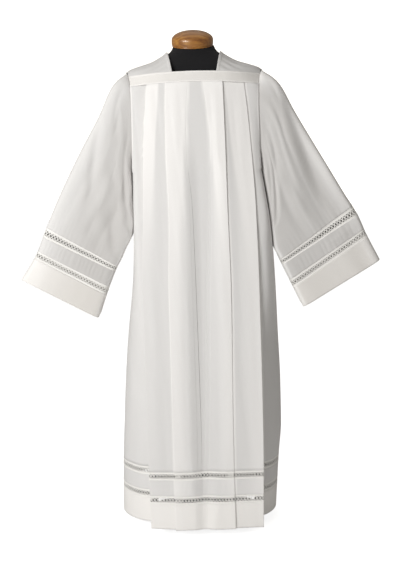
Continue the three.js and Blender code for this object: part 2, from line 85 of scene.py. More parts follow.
# The strips of skirt and sleeves from the lower edge up, the gap at a seam, and each cloth's thickness.
cut = {
    "hemZ": 30, "hemDepth": 77, "laceDepth": 24, "midDepth": 49, "seam": 0.3,
    "cloth": 0.9, "doubled": 1.3, "band": 2.2,
}
midLow = cut["hemDepth"] + cut["laceDepth"]  # heights above the lower edge of a skirt or a sleeve
midTop = midLow + cut["midDepth"]
laceTop = midTop + cut["laceDepth"]
skirtTopZ = cut["hemZ"] + laceTop
faceSign = {"front": -1, "back": 1}
sideSign = {"left": -1, "right": 1}


def meshObject(name, points, faces, uvs=None, smoothFaces=True):  # points in mm, one uv for each in metres
    mesh = bpy.data.meshes.new(name)
    mesh.from_pydata((np.asarray(points, float) / 1000).tolist(), [], faces)
    mesh.polygons.foreach_set("use_smooth", np.full(len(mesh.polygons), smoothFaces))
    if uvs is not None:
        loops = np.empty(len(mesh.loops), int)
        mesh.loops.foreach_get("vertex_index", loops)
        layer = mesh.uv_layers.new(name="cloth")
        layer.data.foreach_set("uv", np.asarray(uvs, float)[loops].ravel())
    mesh.update()
    obj = bpy.data.objects.new(name, mesh)
    bpy.context.scene.collection.objects.link(obj)
    return obj


def gridFaces(rows, columns, closedRound=False):  # quads between the points of a grid
    r, c = np.meshgrid(np.arange(rows - 1), np.arange(columns if closedRound else columns - 1), indexing="ij")
    r, c = r.ravel(), c.ravel()
    n = (c + 1) % columns
    return np.stack([r * columns + c, r * columns + n, (r + 1) * columns + n, (r + 1) * columns + c], 1)


def facingOut(points, faces):  # turns all faces round where the closed surface holds a negative volume
    a, b, c, d = (points[faces[:, i]] for i in range(4))
    volume = np.einsum("ij,ij->", a, np.cross(b, c)) + np.einsum("ij,ij->", a, np.cross(c, d))
    return faces if volume > 0 else faces[:, ::-1]


def gridNormals(grid, closedRound):  # cross product of the steps along and down the grid
    if closedRound:
        along = np.roll(grid, -1, 1) - np.roll(grid, 1, 1)
    else:
        along = np.gradient(grid, axis=1)
    normal = np.cross(along, np.gradient(grid, axis=0))
    return normal / np.maximum(np.linalg.norm(normal, axis=2, keepdims=True), 1e-9)


def closedRow(row):  # a row of points with its first one again at its end
    return np.concatenate([row, row[:1]])


def arcLength(points):  # distance along a row of points from its first one
    return np.concatenate([[0], np.cumsum(np.linalg.norm(np.diff(points, axis=0), axis=1))])


def rowLengths(grid):  # the same along every row of a grid
    steps = np.linalg.norm(np.diff(grid, axis=1), axis=2)
    return np.concatenate([np.zeros((len(grid), 1)), np.cumsum(steps, 1)], 1)


def clothUvs(grid):  # arc length along each row from the middle column, and down that column, in metres
    middle = grid.shape[1] // 2
    u = rowLengths(grid)
    u = u - u[:, middle:middle + 1]
    v = -arcLength(grid[:, middle])
    return np.stack([u, np.broadcast_to(v[:, None], u.shape)], 2) / 1000


def isOutward(grid, normals):  # true if the normals point away from the grid's middle and the upright axis
    centre = grid.reshape(-1, 3).mean(0)
    return float(np.sum((grid - centre) * normals)) + float(np.sum(normals * (centre * [1, 1, 0]))) > 0


def clothShell(name, grid, thickness, closedRound=False, layersAndPaintedLight=0.0):
    # The middle surface moved half the thickness each way along its normals, with its edges closed.
    # thickness may be an array of the grid's shape, which raises the outer face alone.
    # The layer value runs 0 to 1 where cloth lies behind and where light is painted, below 0 where shade is
    # painted.
    rows, columns = grid.shape[:2]
    normals = gridNormals(grid, closedRound)
    outward = 1 if isOutward(grid, normals) else -1
    least = float(np.min(thickness))
    raised = np.broadcast_to(np.asarray(thickness, float) - least / 2, (rows, columns))
    outer = grid + normals * outward * raised[..., None]
    inner = grid - normals * outward * least / 2
    points = np.concatenate([outer.reshape(-1, 3), inner.reshape(-1, 3)])
    n = rows * columns
    first = gridFaces(rows, columns, closedRound)
    faces = [first, first[:, ::-1] + n]
    c = np.arange(columns if closedRound else columns - 1)
    nextC = (c + 1) % columns
    faces.append(np.stack([c + n, nextC + n, nextC, c], 1))
    last = (rows - 1) * columns
    faces.append(np.stack([last + c, last + nextC, last + nextC + n, last + c + n], 1))
    if not closedRound:
        r = np.arange(rows - 1) * columns
        faces.append(np.stack([r, r + columns, r + columns + n, r + n], 1))
        e = r + columns - 1
        faces.append(np.stack([e + n, e + columns + n, e + columns, e], 1))
    faces = facingOut(points, np.concatenate(faces))
    uv = clothUvs(grid).reshape(-1, 2)
    obj = meshObject(name, points, faces.tolist(), np.concatenate([uv, uv]))
    layersAndPaintedLight = np.broadcast_to(layersAndPaintedLight, (rows, columns)).ravel()
    attribute = obj.data.attributes.new("layersAndPaintedLight", "FLOAT", "POINT")
    attribute.data.foreach_set("value", np.concatenate([layersAndPaintedLight, layersAndPaintedLight]))
    return obj


pieces = {}


def finishPiece(obj, material, slot, *nodes):  # a piece that rides on the part's one body
    obj.data.materials.append(material)
    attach(obj, "root")
    if nodes:
        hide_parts(*nodes)
    pieces[obj.name] = obj
    return obj


def newGroup(name, inputs, outputs):
    group = bpy.data.node_groups.new(name, "ShaderNodeTree")
    for label, kind, value in inputs:
        socket = group.interface.new_socket(name=label, in_out="INPUT", socket_type=kind)
        if value is not None:
            socket.default_value = value
    for label, kind in outputs:
        group.interface.new_socket(name=label, in_out="OUTPUT", socket_type=kind)
    return group, group.nodes.new("NodeGroupInput"), group.nodes.new("NodeGroupOutput")


def mathNode(tree, operation, a, b=None):
    node = tree.nodes.new("ShaderNodeMath")
    node.operation = operation
    for i, value in enumerate((a, b)):
        if value is None:
            continue
        if isinstance(value, (int, float)):
            node.inputs[i].default_value = value
        else:
            tree.links.new(value, node.inputs[i])
    return node.outputs[0]


def mixColour(tree, factor, a, b):
    node = tree.nodes.new("ShaderNodeMix")
    node.data_type = "RGBA"
    for socket, value in ((node.inputs[0], factor), (node.inputs[6], a), (node.inputs[7], b)):
        if isinstance(value, (int, float, tuple)):
            socket.default_value = value
        else:
            tree.links.new(value, socket)
    return node.outputs[2]


def mapped(tree, vector, scale, rotation=(0, 0, 0), place=(0, 0, 0)):
    node = tree.nodes.new("ShaderNodeMapping")
    node.inputs["Location"].default_value = place
    node.inputs["Rotation"].default_value = rotation
    node.inputs["Scale"].default_value = scale
    tree.links.new(vector, node.inputs["Vector"])
    return node.outputs[0]


def noiseOn(tree, vector, scale, detail=2, distortion=0):
    node = tree.nodes.new("ShaderNodeTexNoise")
    node.inputs["Scale"].default_value = scale
    node.inputs["Detail"].default_value = detail
    node.inputs["Distortion"].default_value = distortion
    tree.links.new(vector, node.inputs["Vector"])
    return node.outputs[0]


def bumpOn(tree, shader, height, strength, distance):
    node = tree.nodes.new("ShaderNodeBump")
    node.inputs["Strength"].default_value = strength
    node.inputs["Distance"].default_value = distance
    tree.links.new(height, node.inputs["Height"])
    tree.links.new(node.outputs[0], shader.inputs["Normal"])


threadNoise = {"along": (900, 60, 1), "across": (60, 900, 1), "weight": 4.0, "contrast": 0.9}


def weaveGroup():
    # Over and under of a plain weave: the product of a sine along and a sine across, plus uneven threads.
    inputs = [("Vector", "NodeSocketVector", None), ("Threads", "NodeSocketFloat", 1100.0),
              ("Uneven", "NodeSocketFloat", 0.35)]
    outputs = [("Height", "NodeSocketFloat"), ("Shade", "NodeSocketFloat")]
    group, given, made = newGroup("plainWeave", inputs, outputs)
    split = group.nodes.new("ShaderNodeSeparateXYZ")
    group.links.new(given.outputs["Vector"], split.inputs[0])
    waves = []
    for axis in (0, 1):
        turns = mathNode(group, "MULTIPLY", split.outputs[axis], given.outputs["Threads"])
        waves.append(mathNode(group, "SINE", mathNode(group, "MULTIPLY", turns, math.pi)))
    weave = mathNode(group, "MULTIPLY", waves[0], waves[1])
    along, across = (noiseOn(group, mapped(group, given.outputs["Vector"], threadNoise[way]), 1)
                     for way in ("along", "across"))
    slubs = mathNode(group, "SUBTRACT", mathNode(group, "ADD", along, across), 1.0)
    uneven = mathNode(group, "MULTIPLY", given.outputs["Uneven"], threadNoise["weight"])
    height = mathNode(group, "ADD", weave, mathNode(group, "MULTIPLY", slubs, uneven))
    group.links.new(height, made.inputs["Height"])
    shade = mathNode(group, "ADD", 0.5, mathNode(group, "MULTIPLY", slubs, threadNoise["contrast"]))
    group.links.new(shade, made.inputs["Shade"])
    return group


def materialBase(name, colour, roughness, **sockets):
    material = bpy.data.materials.new(name)
    material.use_nodes = True
    shader = material.node_tree.nodes["Principled BSDF"]
    shader.inputs["Base Color"].default_value = (*colour, 1)
    shader.inputs["Roughness"].default_value = roughness
    for label, value in sockets.items():
        shader.inputs[label].default_value = value
    material.diffuse_color = (*colour, 1)
    return material, shader


plainWeave = weaveGroup()
clothLook = {"cloudScale": 9, "cloudDetail": 3, "bumpDistance": 0.00012, "sheenRoughness": 0.45,
             "specular": 0.25}


def clothMaterial(name, light, dark, threads, bump, roughness=0.85, sheen=0.1, uneven=0.35, backed=None,
                  hollow=None):
    # Two near colours mixed by the uneven threads and by a slow cloud, and the weave as bump. Where another
    # layer lies behind and where light is painted, the colour goes whiter; painted shade, as over the
    # sleeves, greys it.
    material, shader = materialBase(name, light, roughness, **{
        "Sheen Weight": sheen, "Sheen Roughness": clothLook["sheenRoughness"],
        "Specular IOR Level": clothLook["specular"]})
    tree = material.node_tree
    uv = tree.nodes.new("ShaderNodeUVMap")
    uv.uv_map = "cloth"
    weave = tree.nodes.new("ShaderNodeGroup")
    weave.node_tree = plainWeave
    weave.inputs["Threads"].default_value = threads
    weave.inputs["Uneven"].default_value = uneven
    tree.links.new(uv.outputs[0], weave.inputs["Vector"])
    coords = tree.nodes.new("ShaderNodeTexCoord")
    cloud = noiseOn(tree, coords.outputs["Object"], clothLook["cloudScale"], clothLook["cloudDetail"])
    threadShare = mathNode(tree, "MULTIPLY", weave.outputs["Shade"], 0.5)
    factor = mathNode(tree, "ADD", threadShare, mathNode(tree, "MULTIPLY", cloud, 0.5))
    colour = mixColour(tree, factor, (*dark, 1), (*light, 1))
    if backed:
        layersAndPaintedLight = tree.nodes.new("ShaderNodeAttribute")
        layersAndPaintedLight.attribute_name = "layersAndPaintedLight"
        whiter = mathNode(tree, "MAXIMUM", layersAndPaintedLight.outputs["Fac"], 0.0)
        greyer = mathNode(tree, "MAXIMUM", mathNode(tree, "MULTIPLY", layersAndPaintedLight.outputs["Fac"], -1.0), 0.0)
        # Painted light whitens the cloth here, and painted shade greys it.
        colour = mixColour(tree, whiter, colour, (*backed, 1))
        colour = mixColour(tree, greyer, colour, (*hollow, 1))
    tree.links.new(colour, shader.inputs["Base Color"])
    bumpOn(tree, shader, weave.outputs["Height"], bump, clothLook["bumpDistance"])
    return material


# Each cloth's backed colour is for cloth with a layer behind and for painted light; its hollow colour is
# painted shade.
finishes = {
    "singleCloth": clothMaterial("singleCloth", (0.775, 0.765, 0.755), (0.735, 0.727, 0.72), 1100, 0.35,
                                 backed=(0.93, 0.915, 0.90), hollow=(0.54, 0.525, 0.51)),
    "doubledCloth": clothMaterial("doubledCloth", (0.93, 0.912, 0.89), (0.89, 0.87, 0.845), 1100, 0.35,
                                  backed=(0.93, 0.912, 0.89), hollow=(0.68, 0.655, 0.62)),
    "laceThread": clothMaterial("laceThread", (0.95, 0.94, 0.915), (0.88, 0.865, 0.83), 700, 0.6,
                                roughness=0.8, uneven=0.8),
    "sewingThread": clothMaterial("sewingThread", (0.95, 0.945, 0.93), (0.89, 0.88, 0.86), 900, 0.5,
                                  roughness=0.6, uneven=0.5),
    "jersey": clothMaterial("jersey", (0.016, 0.016, 0.018), (0.007, 0.007, 0.008), 700, 0.7,
                            roughness=0.92, sheen=0.05, uneven=0.5),
}
woodLook = {
    "colour": (0.48, 0.21, 0.07), "rings": (9, 60, 75), "turn": (0.15, 0.12, 0.1), "fibres": (60, 900, 900),
    "dark": (0.155, 0.05, 0.008, 1), "middle": (0.365, 0.15, 0.027, 1), "light": (0.53, 0.27, 0.058, 1),
}


def woodMaterial():
    # Growth rings: a noise stretched along X bends a wave, which mixes light and dark wood under a varnish.
    material, shader = materialBase("varnishedWood", woodLook["colour"], 0.38,
                                    **{"Coat Weight": 0.6, "Coat Roughness": 0.16})
    tree = material.node_tree
    place = tree.nodes.new("ShaderNodeTexCoord").outputs["Object"]
    rings = noiseOn(tree, mapped(tree, place, woodLook["rings"], woodLook["turn"]), 1.0, 4, 0.6)
    fibre = noiseOn(tree, mapped(tree, place, woodLook["fibres"]), 1.0)
    ramp = tree.nodes.new("ShaderNodeValToRGB")
    dark, light = ramp.color_ramp.elements
    dark.position, dark.color = 0.30, woodLook["dark"]
    light.position, light.color = 0.70, woodLook["light"]
    ramp.color_ramp.elements.new(0.5).color = woodLook["middle"]
    ringShare = mathNode(tree, "MULTIPLY", rings, 0.8)
    tree.links.new(mathNode(tree, "ADD", ringShare, mathNode(tree, "MULTIPLY", fibre, 0.2)), ramp.inputs[0])
    tree.links.new(ramp.outputs[0], shader.inputs["Base Color"])
    bumpOn(tree, shader, fibre, 0.12, 0.0003)
    return material


def coatedMetal(name, colour, roughness, grainScale, strength):
    # Powder coat: a fine noise lifts the surface and varies its colour and its roughness a little.
    material, shader = materialBase(name, colour, roughness, **{"Coat Weight": 0.25, "Coat Roughness": 0.3})
    tree = material.node_tree
    grain = noiseOn(tree, tree.nodes.new("ShaderNodeTexCoord").outputs["Object"], grainScale)
    rough = mathNode(tree, "ADD", mathNode(tree, "MULTIPLY", grain, 0.25), roughness - 0.12)
    tree.links.new(rough, shader.inputs["Roughness"])
    darker, lighter = (tuple(min(1, c * share) for c in colour) + (1,) for share in (0.7, 1.3))
    tree.links.new(mixColour(tree, grain, darker, lighter), shader.inputs["Base Color"])
    bumpOn(tree, shader, grain, strength, 0.0003)
    return material


finishes["wood"] = woodMaterial()
finishes["post"] = coatedMetal("coatedSteel", (0.03, 0.03, 0.032), 0.4, 1800, 0.15)
finishes["foot"] = coatedMetal("coatedIron", (0.028, 0.028, 0.03), 0.5, 900, 0.35)
print("materials made")

armhole = {"top": 1417, "bottom": 1119, "depth": 88, "power": 3.2}
armholeWidth = tableOf("z half", [
    [1119, 196], [1210, 191], [1300, 190], [1373, 191], [1402, 196], [1417, 205]])


def armholeDepth(z):  # superellipse between the top and bottom of the armhole
    middle = (armhole["top"] + armhole["bottom"]) / 2
    share = np.minimum(1, np.abs(z - middle) / ((armhole["top"] - armhole["bottom"]) / 2))
    return armhole["depth"] * (1 - share ** armhole["power"]) ** (1 / armhole["power"])


def armholeHalf(z):
    return curveAt(armholeWidth, "z", "half", z)


stitchSize = {"long": 2.5, "pitch": 3.5, "radius": 0.32, "lift": 0.12, "tip": 0.35}


def stitches(name, path, normals):
    # Thread stitches along a path: each is a short four-sided spindle that lies on the cloth.
    at = arcLength(path)
    starts = np.arange(stitchSize["pitch"] * 0.4, at[-1] - stitchSize["long"], stitchSize["pitch"])
    tip = stitchSize["tip"]
    rings = np.array([0.0, 0.18, 0.82, 1.0]) * stitchSize["long"]
    girth = np.array([tip, 1.0, 1.0, tip]) * stitchSize["radius"]
    where = starts[:, None] + rings[None]
    centre = np.stack([np.interp(where, at, path[:, i]) for i in range(3)], -1)
    up = np.stack([np.interp(where, at, normals[:, i]) for i in range(3)], -1)
    up /= np.linalg.norm(up, axis=2, keepdims=True)
    forward = np.gradient(centre, axis=1)
    forward /= np.maximum(np.linalg.norm(forward, axis=2, keepdims=True), 1e-9)
    side = np.cross(forward, up)
    sunk = np.array([tip, 0, 0, tip])[None, :, None] * stitchSize["radius"]
    centre = centre + up * (stitchSize["lift"] - sunk)
    angles = (np.arange(4) * np.pi / 2)[None, None, :, None]
    ring = side[:, :, None] * np.cos(angles) + up[:, :, None] * np.sin(angles)
    points = (centre[:, :, None] + ring * girth[None, :, None, None]).reshape(-1, 3)
    caps = np.array([[3, 2, 1, 0], [12, 13, 14, 15]])
    one = facingOut(points[:16], np.concatenate([gridFaces(4, 4, True), caps]))
    faces = (one[None] + (np.arange(len(starts)) * 16)[:, None, None]).reshape(-1, 4)
    obj = meshObject(name, points, faces.tolist(), points[:, :2] / 1000)
    return finishPiece(obj, finishes["sewingThread"], "alb_cloth")


def camel(*words):
    text = "_".join(words).split("_")
    return text[0] + "".join(word.capitalize() for word in text[1:])


def sewnPiece(node, grid, thick, finish, closedRound=False, layersAndPaintedLight=0.0):
    obj = clothShell(camel(node), grid, thick, closedRound, layersAndPaintedLight)
    finishPiece(obj, finishes[finish], "alb_cloth", node)


def normalsTowards(grid, axis, sign):  # normals whose sum along an axis (0, 1 or 2) has the sign given
    normals = gridNormals(grid, False)
    return normals * (sign * np.sign(np.sum(normals[..., axis])))


yoke = {
    "front": {"middle": 1384, "end": 1373, "height": 31, "lowDepth": 114, "topDepth": 113},
    "back": {"middle": 1406, "end": 1373, "height": 31, "lowDepth": 93, "topDepth": 80},
}
bandSize = {"rows": 26, "columns": 200, "edge": 4.6, "raised": 0.9, "round": 0.9, "waviness": 0.35,
            "sewn": 1.2}


def yokeLowZ(face, x):  # the band's lower edge, a parabola from its middle down to its ends
    size = yoke[face]
    return mix(size["middle"], size["end"], np.minimum(1, np.abs(x) / armholeHalf(size["end"])) ** 2)


def yokePoint(face, across, above):  # across from -1 to 1, above the band's lower edge
    size = yoke[face]
    endZ = size["end"] + above
    x = across * (armholeHalf(endZ) - cut["seam"])
    flat = mix(size["lowDepth"], size["topDepth"], above / size["height"])
    depth = mix(flat, armholeDepth(endZ), np.abs(across) ** 3)
    return np.stack(np.broadcast_arrays(x, faceSign[face] * depth, yokeLowZ(face, x) + above), -1)


def yokeBand(face):
    # Two raised edges, each as wide as a turned seam, and a flat middle with a little waviness.
    height, edge, turn = yoke[face]["height"], bandSize["edge"], bandSize["round"]
    above = np.linspace(0, height, bandSize["rows"])
    across = np.linspace(-1, 1, bandSize["columns"])
    grid = yokePoint(face, across[None, :], above[:, None])
    ridge = smooth(0, turn, above) * (1 - smooth(edge - 0.8, edge + 0.4, above))
    upper = smooth(height - edge - 0.4, height - edge + 0.8, above)
    ridge += upper * (1 - smooth(height - turn, height, above))
    wave = bandSize["waviness"] * wander(grid[..., 0], 3, 60) * np.sin(np.pi * above / height)[:, None]
    grid[..., 1] += faceSign[face] * wave
    thick = cut["band"] + bandSize["raised"] * ridge[:, None]
    normals = normalsTowards(grid, 1, faceSign[face])
    for label, line in (("low", edge + bandSize["sewn"]), ("high", height - edge - bandSize["sewn"])):
        row = np.argmin(np.abs(above - line))
        path = grid[row] + normals[row] * (cut["band"] / 2)
        stitches(f"{face}YokeStitching_{label}", path, normals[row])
    sewnPiece(face + "_yoke_band", grid, thick, "doubledCloth",
              layersAndPaintedLight=-0.4 * (1 - ridge[:, None]))  # painted shade, greyer between its raised edges


for face in ("front", "back"):
    yokeBand(face)
print("yoke bands made")


def creaseField(table, a, b, names):
    # Sum of soft lines: each falls off as a Gaussian across it and as a sine to both ends.
    p0, q0, p1, q1 = names.split()
    total = np.zeros(np.broadcast(a, b).shape)
    for i in range(len(table[p0])):
        da, db = table[p1][i] - table[p0][i], table[q1][i] - table[q0][i]
        t = np.clip(((a - table[p0][i]) * da + (b - table[q0][i]) * db) / (da * da + db * db), 0, 1)
        off = np.hypot(a - table[p0][i] - t * da, b - table[q0][i] - t * db)
        ends = np.sin(np.pi * np.clip(t, 0.03, 0.97)) ** 0.6
        total += table["depth"][i] * np.exp(-(off / table["half"][i]) ** 2) * ends
    return total


neck = {"front": 65, "shoulder": 80, "back": 70, "hem": 9, "hemThick": 0.7, "sewn": 7.0}
shoulderRidge = tableOf("x z", [[78, 1476], [100, 1461], [130, 1445], [165, 1434], [195, 1424], [205, 1417]])
shoulderSize = {"front": 64, "back": 48, "columns": 60, "neckPower": 1.9, "armholePower": 3.2, "ridgeY": 3.0}
# Creases of the shoulder pieces: t runs from the neck to the armhole, a from the ridge (0) to the band (1).
shoulderCreases = tableOf("t0 a0 t1 a1 half depth", [
    [0.04, 0.55, 0.62, 0.93, 0.055, -1.5], [0.05, 0.38, 0.75, 0.72, 0.06, -1.2],
    [0.02, 0.75, 0.40, 0.99, 0.05, -1.3], [0.12, 0.16, 0.95, 0.42, 0.07, -0.9],
    [0.30, 0.60, 0.98, 0.86, 0.05, 0.8], [0.03, 0.90, 0.22, 0.98, 0.04, 0.9]])


def shoulderHalf(side, face):
    # From the ridge to the band; away from the ridge the height falls by a power that grows from the neck to
    # the armhole, and soft creases fan out from the corner of the neck.
    t = np.linspace(0, 1, shoulderSize["columns"])[None, :]
    away = np.linspace(0, 1, shoulderSize[face])[:, None]
    above = yoke[face]["height"] + cut["seam"] * 0.5
    end = yokePoint(face, mix(neck[face] / armholeHalf(yoke[face]["end"] + above), 1, t), above)
    ridgeX = mix(neck["shoulder"], armholeHalf(armhole["top"]) - cut["seam"], t)
    ridgeZ = curveAt(shoulderRidge, "x", "z", ridgeX)
    power = mix(shoulderSize["neckPower"], shoulderSize["armholePower"], t)
    x = sideSign[side] * mix(ridgeX, end[..., 0], away ** 1.5)
    y = mix(shoulderSize["ridgeY"], end[..., 1], away)
    z = mix(ridgeZ, end[..., 2], away ** power)
    half = np.stack(np.broadcast_arrays(x, y, z), -1)
    relief = creaseField(shoulderCreases, t + 0 * away, away + 0 * t, "t0 a0 t1 a1")
    fade = smooth(0, 0.12, away) * (1 - smooth(0.93, 1, away)) * smooth(0, 0.05, t) * (1 - smooth(0.94, 1, t))
    strength = 1.0 if face == "front" else 0.8
    return half + normalsTowards(half, 2, 1) * (relief * fade * strength)[..., None]


def shoulderPiece(side):  # both halves in one, with a turned hem along the neck that stands a little proud
    grid = np.concatenate([shoulderHalf(side, "front")[::-1], shoulderHalf(side, "back")[1:]])
    along = np.linalg.norm(grid - grid[:, :1], axis=2)
    thick = cut["cloth"] + neck["hemThick"] * (1 - smooth(neck["hem"] - 1.5, neck["hem"], along))
    normals = normalsTowards(grid, 2, 1)
    column = int(np.argmin(np.abs(along.mean(0) - neck["sewn"])))
    path = grid[:, column] + normals[:, column] * (cut["cloth"] / 2 + neck["hemThick"])
    sewing = [stitches(side + "NeckStitching", path, normals[:, column])]
    sewnPiece(side + "_shoulder", grid, thick, "singleCloth")


for side in ("left", "right"):
    shoulderPiece(side)
print("shoulder pieces made")

pleatEdges = tableOf("z a b c d e f", [
    [1376, -141, -85, -20, 24, 82, 146],
    [1300, -148, -88, -28, 34, 84, 154],
    [1205, -156, -89, -30, 42, 86, 162],
    [1010, -163, -86, -24, 42, 89, 174],
    [740, -173, -93, -22, 31, 94, 180],
    [310, -172, -93, -19, 19, 91, 183],
    [30, -168, -91, -30, 3, 92, 178]])
# Depths of the middle, of a step behind it, and how much further the outer panels and the sides lie back.
faceDepths = {
    "front": tableOf("z middle step fallLeft fallRight sideLeft sideRight", [
        [1376, -113, 8, 6, 6, 8, 6],
        [1300, -123, 8, 9, 9, 9, 5],
        [1205, -128, 8, 10, 10, 12, 2.5],
        [1010, -136, 9, 9, 6, 18, 0.5],
        [740, -147, 9, 8, 0, 27, 10],
        [470, -160, 9, 8, -4, 36, 36],
        [204, -177, 10, 8, -6, 44, 70],
        [30, -208, 19, 9, -8, 48, 84]]),
    "back": tableOf("z middle step fallLeft fallRight sideLeft sideRight", [
        [1376, -92, 8, 5, 5, 8, 8],
        [1300, -104, 8, 8, 8, 9, 9],
        [1205, -108, 8, 9, 9, 12, 12],
        [1010, -114, 9, 6, 8, 20, 18],
        [740, -127, 9, 2, 6, 34, 28],
        [470, -143, 9, -2, 5, 50, 38],
        [204, -163, 10, -4, 5, 66, 46],
        [30, -190, 17, -4, 6, 76, 52]]),
}
foldReach = tableOf("z outer valley", [  # how far the folded layer reaches behind, negative on its other side
    [1376, 18, 15], [1300, 20, 11], [1205, 20, 4], [1010, 20, -8], [740, 20, -11], [204, 22, -13],
    [30, 24, -14]])
# Below the chest the two middle folds fade, and a soft trough runs down between the panels in their place.
# It falls between the first two x values, is deepest between the next two, and rises again up to the last.
troughs = {
    "front": tableOf("z x0 x1 x2 x3 depth", [
        [1300, -44, -6, 30, 60, 0], [1205, -44, 0, 30, 60, 3], [1110, -42, 6, 30, 78, 8],
        [875, -40, 10, 22, 86, 11], [610, -44, 8, 14, 88, 11], [340, -48, 6, 10, 88, 11],
        [120, -36, 0, 2, 50, 8], [30, -34, -2, 0, 30, 7]]),
    "back": tableOf("z x0 x1 x2 x3 depth", [
        [1300, -56, -14, 20, 56, 0], [1205, -58, -12, 22, 58, 3], [1110, -74, -24, 6, 52, 8],
        [875, -86, -18, -10, 52, 11], [610, -90, -8, -4, 60, 12], [340, -86, -6, -2, 56, 12],
        [30, -30, 2, 6, 40, 8]]),
}
foldSteps = tableOf("z step", [[1376, 0.5], [1205, 0.7], [740, 1.1], [204, 1.8], [30, 4.5]])
pleatFade = [1070, 1250]  # the two middle folds are flat below the first height and whole above the second
valleyRounding = tableOf("z radius", [[1376, 1.8], [1250, 2], [1000, 6], [740, 10], [204, 12], [30, 9]])
sideRounding = tableOf("z power", [
    [1300, 2.4], [1200, 3.8], [1119, 8], [1020, 9], [900, 5], [740, 3], [600, 1.8]])
# How far the side parts of the front fall back towards the sleeves, as a share of their depth.
sideTilt = tableOf("z left right", [
    [1376, 0, 0], [1300, 0.02, 0.04], [1200, 0.05, 0.07], [1119, 0.08, 0.09], [985, 0.05, 0.09],
    [884, 0, 0.11], [740, 0, 0.06], [600, 0, 0]])
sideSeams = tableOf("z left right", [
    [1119, -195.3, 195.3], [1060, -195.8, 205], [946, -198, 222], [816, -204, 233], [585, -231, 244],
    [449, -243, 249], [312, -252, 250], [200, -259, 241], [30, -265, 230]])
# Soft creases of the panels: a line from (x0, z0) to (x1, z1), its half width and how far it stands out.
panelCreases = {
    "front": tableOf("x0 z0 x1 z1 half depth", [
        [-186, 1330, -168, 1120, 8, -3.0], [-178, 1250, -182, 900, 9, 3.0], [-214, 560, -232, 260, 9, 3.5],
        [-196, 1000, -205, 620, 11, -3.0], [-222, 420, -238, 60, 12, -4.0], [-196, 380, -206, 40, 9, 2.5],
        [-118, 1372, -104, 1180, 9, -2.2], [-132, 1372, -128, 1230, 7, 1.6],
        [-104, 1100, -112, 620, 10, -1.6],
        [-140, 900, -144, 300, 12, 1.8], [-116, 560, -112, 90, 12, -1.8], [-64, 1372, -58, 1150, 10, 1.8],
        [-38, 1372, -44, 1190, 8, -1.6], [-52, 1080, -60, 560, 12, 1.6], [-44, 700, -52, 120, 10, -1.4],
        [58, 1372, 66, 1150, 9, 1.8], [42, 1372, 52, 1240, 7, -1.6], [62, 1100, 70, 520, 12, 1.6],
        [48, 620, 52, 100, 11, -1.4], [112, 1372, 124, 1150, 9, -2.2], [132, 1372, 146, 1180, 8, 1.6],
        [118, 1000, 122, 420, 12, -1.8], [150, 880, 156, 320, 12, 1.8], [190, 1300, 184, 1080, 8, -3.0],
        [200, 1020, 206, 560, 11, 3.0], [214, 700, 218, 250, 10, -3.5], [204, 420, 206, 60, 10, 2.5]]),
    "back": tableOf("x0 z0 x1 z1 half depth", [
        [-184, 1320, -170, 1100, 9, -3.0], [-196, 1040, -206, 560, 11, 3.0], [-218, 600, -232, 220, 10, -3.5],
        [-200, 360, -212, 50, 10, 2.5], [-120, 1372, -106, 1190, 9, -2.0], [-134, 1000, -140, 360, 12, 1.8],
        [-60, 1400, -56, 1160, 10, 1.6], [-48, 900, -56, 240, 12, -1.5], [56, 1400, 64, 1150, 9, 1.7],
        [52, 760, 58, 140, 12, -1.5], [116, 1372, 128, 1170, 9, -2.0], [134, 960, 142, 300, 12, 1.8],
        [188, 1310, 182, 1090, 9, -3.0], [202, 1000, 210, 520, 11, 3.0], [216, 620, 220, 200, 10, -3.0],
        [206, 340, 208, 50, 10, 2.5]]),
}
panelSize = {
    "rows": 150, "upperRows": 62, "upperZ": 1100, "panelSteps": 22, "narrowSteps": 14, "foldSteps": 5,
    "valleySteps": 10, "sideSteps": 20, "turnSteps": 3, "pressed": 1.2, "crown": 1.2, "narrowCrown": 0.48,
    "hollowCrown": -0.9, "topGap": 1.5, "seamGap": 0.1, "sideGap": 0.2,
}
# Shares of a step that lie in its turn, and how far the outer panels come forward from their fall.
foldShape = {
    "turn": 0.47, "sideTurn": 0.4, "valleyTurn": 0.45, "valleyStep": 0.6, "least": 0.1,
    "leftFall": 0.7, "leftForward": 3, "rightFall": 0.8, "rightForward": 2, "rightBack": 7,
    "backFrom": [900, 1250],
}


